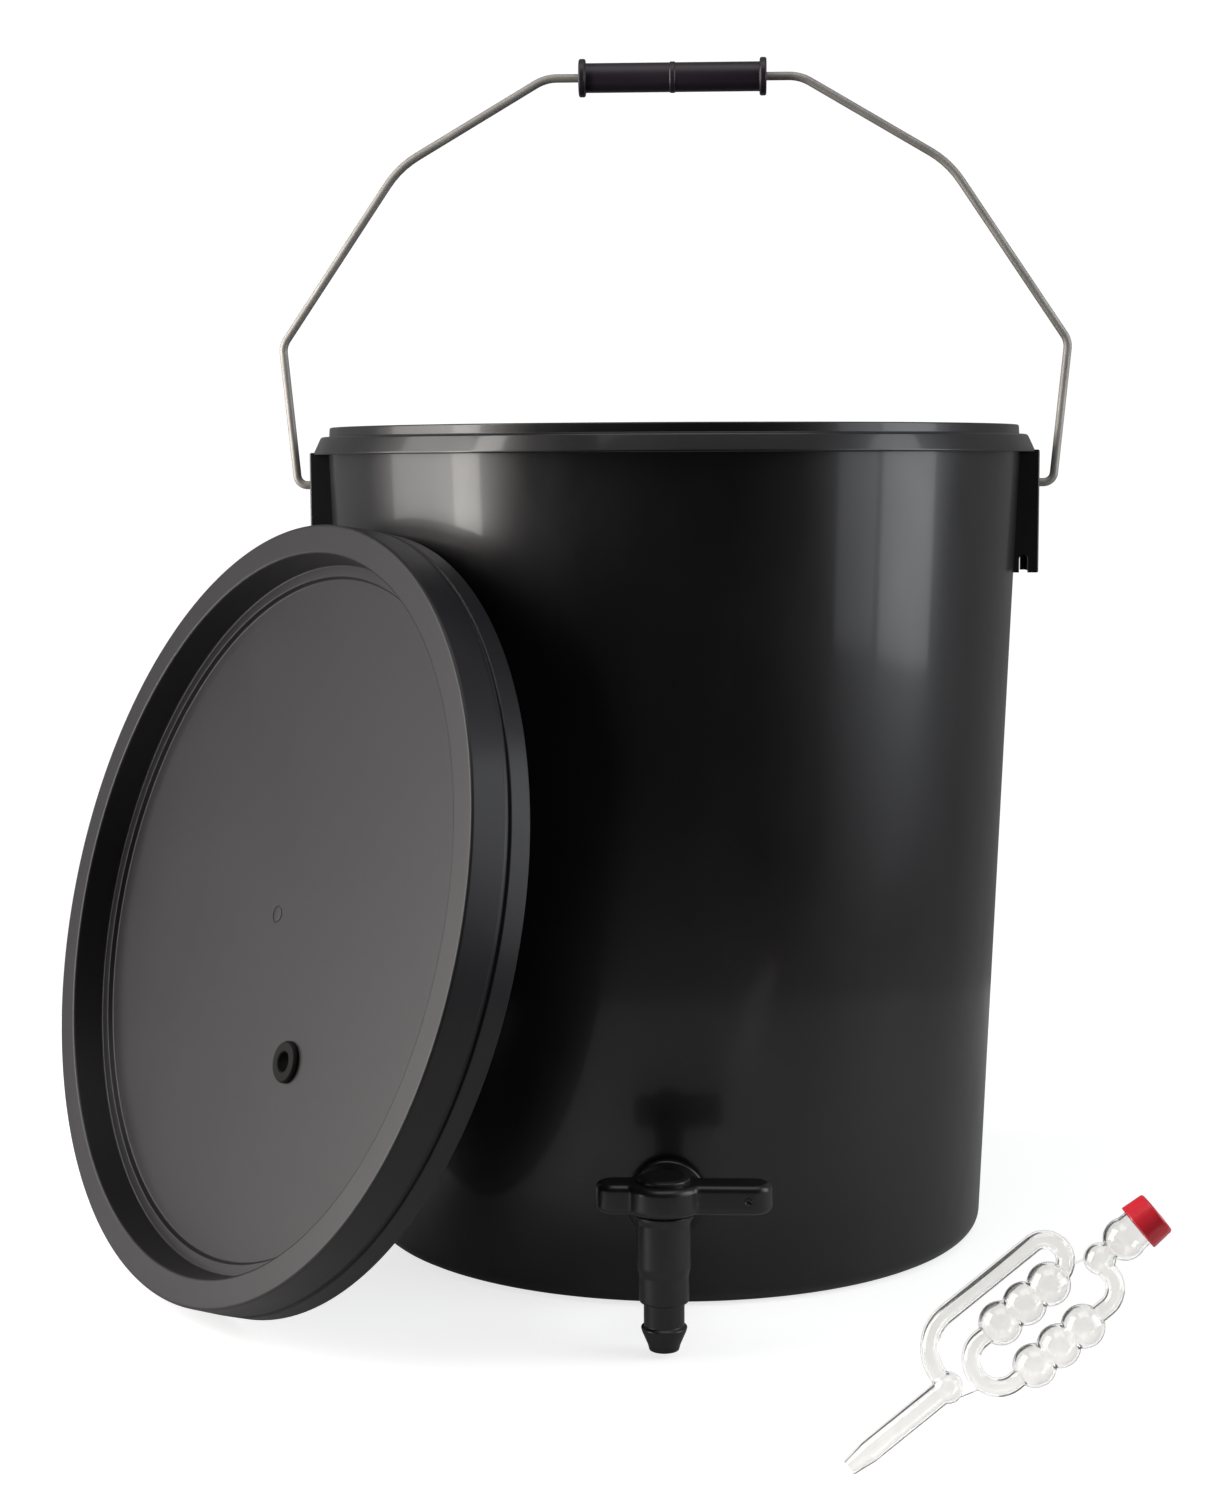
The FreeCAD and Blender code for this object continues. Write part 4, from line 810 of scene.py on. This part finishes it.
# ---------------------------------------------------------------- bail
@dataclass
class Bail:
    """The bent wire and the grip round its middle. Millimetres from the pivot."""

    pivot_up: float
    wire_r: float = 2.0
    play: float = 0.06
    end: float = 168.0
    leg_out: float = 182.0
    knee: tuple[float, float] = (188.4, 67.0)
    shoulder: tuple[float, float] = (131.0, 151.0)
    crook: tuple[float, float] = (60.5, 192.0)
    bends: tuple[float, float, float, float] = (5.0, 10.0, 45.0, 20.0)
    grip_long: float = 89.0
    grip_r: float = 6.9
    flange_r: float = 8.9
    flange_long: float = 3.2
    ring_r: float = 7.3

    def build(self) -> None:
        """Build the wire and the grip."""
        corners = [(self.leg_out, 0.0), self.knee, self.shoulder, self.crook]
        half = [(*corner, bend) for corner, bend in zip(corners, self.bends)]
        left = [(-across, up, bend) for across, up, bend in half]
        wire = Moulding("bent_wire")
        wire.bar([(-self.end, 0.0), *left, *reversed(half), (self.end, 0.0)], self.wire_r)
        place = Matrix.Translation((0.0, 0.0, self.pivot_up))
        dress(wire.done(place), ZINC, "bail", ("bail_wire",), place)
        grip = Moulding("hand_grip")
        end = self.grip_long / 2.0
        shy = end - self.flange_long
        bore = self.wire_r + self.play
        right = [(self.ring_r, 0.9, 0.2), (self.grip_r, 1.4, 0.2), (self.grip_r, shy, 0.4),
                 (self.flange_r, shy, 0.9), (self.flange_r, end, 0.9), (bore + 1.4, end, 0.3),
                 (bore + 1.4, end - 1.2, 0.3), (bore, end - 1.2)]
        mirrored = [(corner[0], -corner[1], *corner[2:]) for corner in reversed(right)]
        grip.turn([*mirrored, *right], steps=96, pitch=4.0)
        place = place @ Matrix.Translation((0.0, 0.0, self.crook[1])) @ Matrix.Rotation(
            math.pi / 2.0, 4, "Y")
        dress(grip.done(place), GRIP_PURPLE_BLACK, "grip", ("bail_grip",), place)


# ---------------------------------------------------------------- lid
@dataclass
class Lid:
    """The push-fit lid and its grommet, in the lid's own frame. Millimetres."""

    radius: float = 175.4
    band_r: float = 174.7
    deep: float = 27.0
    band_deep: float = 15.0
    slope: float = 1.6
    groove: float = 2.4
    groove_deep: float = 1.1
    thick: float = 2.0
    ring_r: float = 160.0
    well_r: float = 158.0
    well_deep: float = 17.0
    step_r: float = 152.0
    step_tall: float = 2.4
    gate_r: float = 4.0
    hole_r: float = 7.2
    hole_at: tuple[float, float] = (36.0, -60.0)
    grommet_r: float = 9.2
    bore_r: float = 4.4
    flange: float = 2.6
    lead: float = 0.5

    def place(self) -> Matrix:
        """Find the lid's frame from the grommet's mount."""
        spot, normal = mount_place("grommet_bore")
        across = UP.cross(normal).normalized()
        along = normal.cross(across)
        panel = -self.well_deep - self.thick / 2.0
        centre = spot - across * self.hole_at[0] - along * self.hole_at[1] - normal * panel
        return framed(centre, across, along, normal)

    def profile(self) -> Outline:
        """Outline of the lid, from the middle of its face round to the middle of its back."""
        well = -self.well_deep
        neck = -self.band_deep - self.groove
        step = well + self.step_tall
        inner = self.band_r - self.groove_deep
        thick = self.thick
        return [
            (0.0, well), (self.gate_r - 0.9, well, 0.15), (self.gate_r - 0.75, well - 0.4, 0.1),
            (self.gate_r - 0.25, well - 0.4, 0.1), (self.gate_r, well, 0.15),
            (self.step_r, well, 0.7), (self.step_r + 0.8, step, 0.5), (self.well_r, step, 0.8),
            (self.ring_r, 0.0, 1.2), (self.band_r - self.slope, 0.0, 1.4),
            (self.band_r, -self.band_deep, 0.4), (inner, -self.band_deep - 0.6, 0.3),
            (inner, neck, 0.4), (self.radius - 0.5, neck - 0.5, 0.5),
            (self.radius, -self.deep, 0.6),
            (self.radius - thick, -self.deep, 0.6), (self.radius - thick - 0.4, neck - 1.5, 0.6),
            (inner - thick, neck, 0.4), (inner - thick, -self.band_deep - 0.6, 0.4),
            (self.band_r - thick, -self.band_deep + 0.6, 0.6),
            (self.band_r - self.slope - thick, -thick, 1.2),
            (self.ring_r + thick, -thick, 1.0), (self.well_r + thick - 0.2, well, 0.6),
            (self.step_r + 2.4, well, 0.4), (self.step_r + 1.4, well - thick, 0.5),
            (0.0, well - thick),
        ]

    def build(self) -> None:
        """Build the lid and its grommet."""
        place = self.place()
        lid = Moulding("lid_panel")
        lid.turn(self.profile(), steps=288, pitch=12.0, loop=False)
        piece = lid.done(place, crease=40.0)
        hole = rod((*self.hole_at, -self.well_deep), (0.0, 0.0, 1.0), self.hole_r, 12.0, place)
        carve(piece, hole, crease=40.0)
        dress(piece, SATIN_BLACK, "lid", ("lid_cover",), place)
        low = -self.thick - self.flange
        grommet = Moulding("rubber_grommet")
        grommet.turn([
            (self.bore_r + self.lead, low, 0.2), (self.grommet_r - 0.7, low, 0.6),
            (self.grommet_r, low + self.flange / 2.0, 0.8), (self.grommet_r, -self.thick, 0.3),
            (self.hole_r, -self.thick), (self.hole_r, 0.0), (self.grommet_r, 0.0, 0.3),
            (self.grommet_r, self.flange / 2.0, 0.8), (self.grommet_r - 0.7, self.flange, 0.6),
            (self.bore_r + self.lead, self.flange, 0.2),
            (self.bore_r, self.flange - self.lead, 0.3), (self.bore_r, low + self.lead, 0.3),
        ], steps=96)
        seat = place @ Matrix.Translation((*self.hole_at, -self.well_deep))
        dress(grommet.done(seat), RUBBER, "lid", ("lid_grommet",), seat)


# ---------------------------------------------------------------- tap
@dataclass
class Tap:
    """The drain tap: body, lever, backnut and seals. Millimetres.

    The inlet runs forward at the height up, and the plug stands at the distance out from the
    bucket's axis.
    """

    up: float
    out: float
    tail_in: float = 124.0
    tail_r: float = 13.2
    tail_bore_r: float = 7.2
    pitch: float = 2.4
    thread_deep: float = 0.7
    nut_face: float = 146.2
    collar_back: float = 154.6
    collar_r: float = 18.0
    collar_thick: float = 4.0
    neck_r: float = 10.6
    barrel_r: float = 11.4
    barrel_flare: float = 1.2
    barrel_top: float = 11.0
    barrel_low: float = 11.45
    spout_r: float = 10.5
    spout_step: float = 27.0
    spout_bore_r: float = 5.0
    hose_r: float = 8.5
    barb_r: float = 9.7
    barb_up: float = 12.0
    tip_r: float = 6.4
    tip_up: float = 2.4
    seat_r: float = 9.05
    seat_low: float = 9.1
    lever_gap: float = 0.6
    lever_tall: float = 12.6
    lever_wide: float = 16.0
    lever_short: float = 28.5
    lever_long: float = 45.0
    lever_round: float = 3.0
    corner_round: float = 3.0
    hub_r: float = 16.0
    disc_r: float = 11.0
    disc_tall: float = 2.4
    plug_r: float = 9.0
    plug_drop: float = 8.6
    plug_bore_r: float = 6.4
    seal_up: float = 9.0
    seal_r: float = 0.86

    def inlet(self) -> Matrix:
        """Frame of the inlet, with Z forward along it from the bucket's axis."""
        return framed(Vector((0.0, 0.0, self.up)), Vector((1.0, 0.0, 0.0)), UP,
                      Vector((0.0, -1.0, 0.0)))

    def upright(self) -> Matrix:
        """Frame of the plug, with Z up."""
        return Matrix.Translation((0.0, -self.out, self.up))

    def build_tail(self) -> bpy.types.Object:
        """Build the threaded tail, collar and neck, turned about the tap's inlet axis."""
        ridges = []
        root = self.tail_r - self.thread_deep
        at = self.tail_in + 1.6
        while at + self.pitch < self.nut_face - 0.4:
            ridges += [(self.tail_r, at), (root, at + self.pitch * 0.42, 0.2),
                       (root, at + self.pitch * 0.58, 0.2)]
            at += self.pitch
        front = self.collar_back + self.collar_thick
        tail = Moulding("tap_tail")
        tail.turn([
            (self.tail_bore_r, self.tail_in, 0.4), (self.tail_r - 1.0, self.tail_in, 0.3),
            (self.tail_r, self.tail_in + 1.0, 0.2), *ridges,
            (self.tail_r, at), (self.tail_r, self.collar_back, 0.3),
            (self.collar_r, self.collar_back, 0.5), (self.collar_r, front, 1.3),
            (self.neck_r + 2.5, front, 1.2), (self.neck_r, front + 3.0, 2.0),
            (self.neck_r, self.out), (self.tail_bore_r, self.out),
        ], steps=96, pitch=5.0)
        piece = tail.done(self.inlet(), TAP_CREASE)
        seat = rod((0.0, -self.out, self.up), UP, self.seat_r, 60.0, sides=96)
        carve(piece, seat, TAP_CREASE)
        return piece

    def build_spout(self) -> bpy.types.Object:
        """Build the barrel, spout and barbed hose tail, turned about the plug's axis."""
        barb = self.barb_up - self.up
        tip = self.tip_up - self.up
        brim = self.barrel_r + self.barrel_flare
        spout = Moulding("tap_spout")
        spout.turn([
            (self.seat_r, self.barrel_top, 0.3), (brim, self.barrel_top, 0.6),
            (brim, self.barrel_top - 1.6, 0.5), (self.barrel_r, self.barrel_top - 4.0, 1.5),
            (self.barrel_r, -self.barrel_low, 3.0), (self.spout_r, -self.barrel_low - 4.0, 4.0),
            (self.spout_r, -self.spout_step, 1.2),
            (self.hose_r, -self.spout_step, 0.6), (self.hose_r, barb + 1.3, 0.4),
            (self.barb_r, barb + 0.2, 0.5), (self.barb_r - 0.4, barb - 1.4, 0.8),
            (self.tip_r + 0.5, tip + 2.6, 2.0), (self.tip_r - 0.2, tip, 0.5),
            (self.spout_bore_r, tip, 0.5), (self.spout_bore_r, -self.seat_low, 0.3),
            (self.seat_r, -self.seat_low, 0.3),
        ], steps=96, pitch=5.0)
        return spout.done(self.upright(), TAP_CREASE)

    def build_lever(self) -> bpy.types.Object:
        """Build the lever: a bar with round ends through a round hub."""
        low = self.barrel_top + self.lever_gap
        top = low + self.lever_tall
        half = self.lever_wide / 2.0
        web = self.corner_round
        meet = math.sqrt((self.hub_r + web) ** 2 - (half + web) ** 2)
        lift = math.atan2(half + web, meet)
        lever = Moulding("tap_handle")
        arcs = []
        for side, end in ((1.0, -self.lever_short + half), (-1.0, self.lever_long - half)):
            spot = Vector((math.cos(lift), math.sin(lift), 0.0)) * self.hub_r * side
            start = Vector((-spot.x, spot.y, 0.0))
            arcs.append((spot, Vector(), math.pi - 2.0 * lift, 24))
            arcs.append((start, Vector((-meet, half + web, 0.0)) * side, lift - math.pi / 2.0, 8))
            arcs.append((Vector((end, half * side, 0.0)), Vector((end, 0.0, 0.0)), math.pi, 20))
            foot = Vector((-meet, -half, 0.0)) * side
            arcs.append((foot, foot + Vector((0.0, -web, 0.0)) * side,
                         lift - math.pi / 2.0, 8))
        ends = []
        for start, centre, angle, steps in arcs:
            vert = lever.bm.verts.new(start + UP * low)
            last = of_kind(lever.swing([vert], centre, UP, angle, steps), bmesh.types.BMVert)
            ends.append((vert, last[0]))
        for (_, last), (first, _) in zip(ends, ends[1:] + ends[:1]):
            lever.bm.edges.new((last, first))
        lever.draw_out(lever.bm.edges[:], UP * self.lever_tall)
        rims = [edge for edge in lever.bm.edges
                if abs(edge.verts[0].co.z - edge.verts[1].co.z) < 0.01]
        lever.soften_edges(rims, self.lever_round, 6)
        piece = lever.done(self.upright(), TAP_CREASE)
        dimple = Moulding("dimple")
        bmesh.ops.create_uvsphere(
            dimple.bm, u_segments=32, v_segments=16, radius=2.0,
            matrix=Matrix.Translation((self.lever_long - 10.0, -half - 1.1, (low + top) / 2.0)))
        carve(piece, dimple.done(self.upright(), crease=None), TAP_CREASE)
        return piece

    def build_plug(self) -> bpy.types.Object:
        """Build the raised disc over the hub and the plug under it."""
        top = self.barrel_top + self.lever_gap + self.lever_tall
        neck = self.plug_r - 2.0 * self.seal_r
        plug = Moulding("tap_plug")
        plug.turn([
            (0.0, top + self.disc_tall), (self.disc_r - 2.0, top + self.disc_tall, 3.0),
            (self.disc_r, top + self.disc_tall - 0.9, 0.7), (self.disc_r, top - 1.0),
            (self.plug_r, top - 1.0), (self.plug_r, self.seal_up + self.seal_r + 0.1),
            (neck, self.seal_up + self.seal_r + 0.1), (neck, self.seal_up - self.seal_r - 0.1),
            (self.plug_r, self.seal_up - self.seal_r - 0.1), (self.plug_r, -self.plug_drop, 0.4),
            (self.plug_bore_r, -self.plug_drop, 0.4), (self.plug_bore_r, self.plug_bore_r, 0.8),
            (0.0, self.plug_bore_r + 0.6),
        ], steps=96, pitch=4.0, loop=False)
        return plug.done(self.upright(), TAP_CREASE)

    def build(self) -> None:
        """Build the tap's pieces."""
        along, upright = self.inlet(), self.upright()
        dress(self.build_tail(), TAP_BLACK, "bucket", ("tap_body",), along)
        dress(self.build_spout(), TAP_BLACK, "bucket", (), upright)
        dress(self.build_lever(), TAP_BLACK, "lever", ("tap_lever",), upright)
        dress(self.build_plug(), TAP_BLACK, "lever", (), upright)
        seals = (("tap_seal_ring", "plug_seal", "lever"),
                 ("tap_outer_washer", "outer_washer", "bucket"),
                 ("tap_inner_washer", "inner_washer", "bucket"))
        for node, name, body in seals:
            dress(recast(node, name, TAP_CREASE), RUBBER, body, (node,), along)
        dress(recast("tap_backnut", "back_nut", 20.0), TAP_BLACK, "bucket",
              ("tap_backnut",), along)


# ---------------------------------------------------------------- airlock
@dataclass
class Airlock:
    """The clear airlock and its red cap, in the airlock's own frame. Millimetres."""

    lean: float = 49.5
    tilt: float = 15.0
    face: float = -6.0
    straight: tuple[float, float] = (3.931, 37.7)
    middle: float = -1.5
    mouth: float = 98.6
    mouth_r: float = 7.2
    cap_r: float = 9.1
    cap_draft: float = 0.7
    cap_tall: float = 9.2
    cap_roof: float = 1.4
    play: float = 0.3
    vent_r: float = 0.7
    vent_out: float = 4.0
    vents: int = 3

    def place(self) -> Matrix:
        """Find the airlock's frame from its stem's mount."""
        spot, down = mount_place("airlock_stem")
        spin = (Matrix.Rotation(math.radians(self.face), 4, "Z")
                @ Matrix.Rotation(-math.radians(self.tilt), 4, "X")
                @ Matrix.Rotation(math.radians(self.lean), 4, "Y"))
        return Matrix.Translation(spot - down * sum(self.straight) / 2.0) @ spin

    def build(self) -> None:
        """Build the airlock and its cap."""
        place = self.place()
        body = recast("airlock_body", "clear_airlock", 28.0)
        dress(body, CLEAR, "airlock", ("airlock_body",), place)
        roof = self.mouth + self.play
        top = roof + self.cap_roof
        foot = top - self.cap_tall
        inner = self.mouth_r + self.play
        cap = Moulding("red_cap")
        cap.turn([
            (0.0, roof), (inner, roof, 0.6), (inner, foot, 0.3), (self.cap_r, foot, 0.4),
            (self.cap_r - self.cap_draft, top, 1.1), (0.0, top),
        ], steps=112, pitch=2.5, loop=False)
        seat = place @ Matrix.Translation((self.middle, 0.0, 0.0))
        piece = cap.done(seat, crease=34.0)
        for index in range(self.vents):
            angle = math.tau * index / self.vents
            spot = (self.vent_out * math.cos(angle), self.vent_out * math.sin(angle), top)
            carve(piece, rod(spot, (0.0, 0.0, 1.0), self.vent_r, 6.0, seat, sides=24), crease=34.0)
        dress(piece, RED, "cap", ("airlock_cap",), seat)


# ---------------------------------------------------------------- studio
@dataclass(frozen=True)
class Softbox:
    """A large soft light that faces the bucket. Metres."""

    name: str
    spot: tuple[float, float, float]
    wide: float
    tall: float
    glow: float
    colour: Colour
    aim: tuple[float, float, float] = (0.0, 0.0, 0.2)

    def build(self) -> None:
        """Add the light; its power gives a surface glow of the stated strength."""
        lamp = bpy.data.lights.new(self.name, "AREA")
        lamp.shape = "RECTANGLE"
        lamp.size = self.wide
        lamp.size_y = self.tall
        lamp.color = self.colour
        lamp.energy = self.glow * math.pi * self.wide * self.tall
        item = stand(self.name, lamp)
        heading = Vector(self.aim) - Vector(self.spot)
        item.matrix_world = Matrix.Translation(self.spot) @ heading.to_track_quat(
            "-Z", "Y").to_matrix().to_4x4()


@dataclass
class Studio:
    """A pale round floor, a white surround, softboxes and the camera."""

    floor_r: float = 0.62
    camera_at: tuple[float, float, float] = (0.0262, -1.2807, 0.3703)
    yaw: float = -2.67
    pitch: float = 6.19
    roll: float = -0.26
    lens: float = 63.5
    boxes: tuple[Softbox, ...] = (
        Softbox("left_softbox", (-1.44, -0.16, 0.60), 0.72, 1.9, 4.8, (1.0, 0.97, 0.94),
                (0.0, -0.10, 0.60)),
        Softbox("left_wing", (-1.34, -0.62, 0.80), 0.26, 1.9, 15.0, (1.0, 0.965, 0.93),
                (0.0, 0.0, 0.80)),
        Softbox("right_softbox", (1.42, -0.27, 0.80), 0.56, 1.4, 4.6, (0.95, 0.97, 1.0),
                (0.0, 0.0, 0.80)),
        Softbox("right_wing", (1.28, -0.76, 0.80), 0.36, 1.4, 2.2, (0.95, 0.97, 1.0),
                (0.0, 0.0, 0.80)),
        Softbox("top_softbox", (0.1, -0.5, 1.9), 1.6, 1.2, 1.6, (1.0, 1.0, 1.0)),
    )

    def build_floor(self) -> None:
        """Lay the pale floor."""
        disc = bmesh.new()
        bmesh.ops.create_circle(disc, cap_ends=True, segments=96, radius=self.floor_r,
                                matrix=Matrix.Translation((0.0, 0.0, -0.0002)))
        floor = as_object("floor", disc)
        recipe = Recipe("pale_floor", Matrix.Identity(4))
        colour = recipe.blend(recipe.noise(6.0, 2.0), (0.50, 0.50, 0.50), (0.54, 0.54, 0.54))
        rough = recipe.spread(recipe.noise(40.0), 0.7, 0.85)
        glow = recipe.spread(recipe.seen(), 0.05, 0.75, 0.0, 1.0)
        recipe.link(glow, recipe.shader.inputs["Emission Strength"])
        recipe.set(Emission_Color=(1.0, 1.0, 1.0, 1.0))
        floor.data.materials.append(recipe.finish(colour, rough))

    def build_surround(self) -> None:
        """Set the surround: white behind the bucket, dark on the near side."""
        world = bpy.data.worlds.new("surround")
        bpy.context.scene.world = world
        world.use_nodes = True
        nodes = Nodes(world.node_tree)
        room = nodes.tree.nodes["Background"]
        white = nodes.add("ShaderNodeBackground")
        white.inputs["Color"].default_value = (1.0, 1.0, 1.0, 1.0)
        white.inputs["Strength"].default_value = 1.05
        depth = nodes.axis(nodes.add("ShaderNodeTexCoord").outputs["Generated"], "Y")
        nodes.link(nodes.spread(depth, 0.04, 0.24, -0.15, 0.55), room.inputs["Strength"])
        room.inputs["Color"].default_value = (0.97, 0.98, 1.0, 1.0)
        mix = nodes.add("ShaderNodeMixShader")
        nodes.link(nodes.seen(), mix.inputs["Fac"])
        nodes.link(room.outputs["Background"], mix.inputs[1])
        nodes.link(white.outputs["Background"], mix.inputs[2])
        nodes.link(mix.outputs["Shader"], nodes.tree.nodes["World Output"].inputs["Surface"])

    def build_camera(self) -> None:
        """Set the camera at its height and angle."""
        yaw, pitch, roll = (math.radians(angle) for angle in (self.yaw, self.pitch, self.roll))
        ahead = Vector((math.sin(yaw) * math.cos(pitch), math.cos(yaw) * math.cos(pitch),
                        -math.sin(pitch)))
        level = Vector((math.cos(yaw), -math.sin(yaw), 0.0))
        above = level.cross(ahead)
        right = level * math.cos(roll) + above * math.sin(roll)
        up = above * math.cos(roll) - level * math.sin(roll)
        view = bpy.data.cameras.new("camera")
        view.lens = self.lens
        view.sensor_width = 36.0
        view.clip_start = 0.02
        camera = stand("camera", view)
        camera.matrix_world = framed(Vector(self.camera_at), right, up, -ahead)
        bpy.context.scene.camera = camera

    def build(self) -> None:
        """Build the whole studio."""
        self.build_camera()
        self.build_floor()
        self.build_surround()
        for box in self.boxes:
            box.build()
        bpy.context.scene.view_settings.view_transform = "Standard"


def main() -> None:
    """Build the studio and every sub-assembly in order."""
    logging.basicConfig(level=logging.INFO, format="%(name)s: %(message)s")
    pivot = hinge_place("bail_swing")
    lever = hinge_place("tap_lever_turn")
    Studio().build()
    Bucket(pivot.z, lever.z).build()
    Bail(pivot.z).build()
    Lid().build()
    Tap(lever.z, -lever.y).build()
    Airlock().build()


if __name__ == "__main__":
    main()
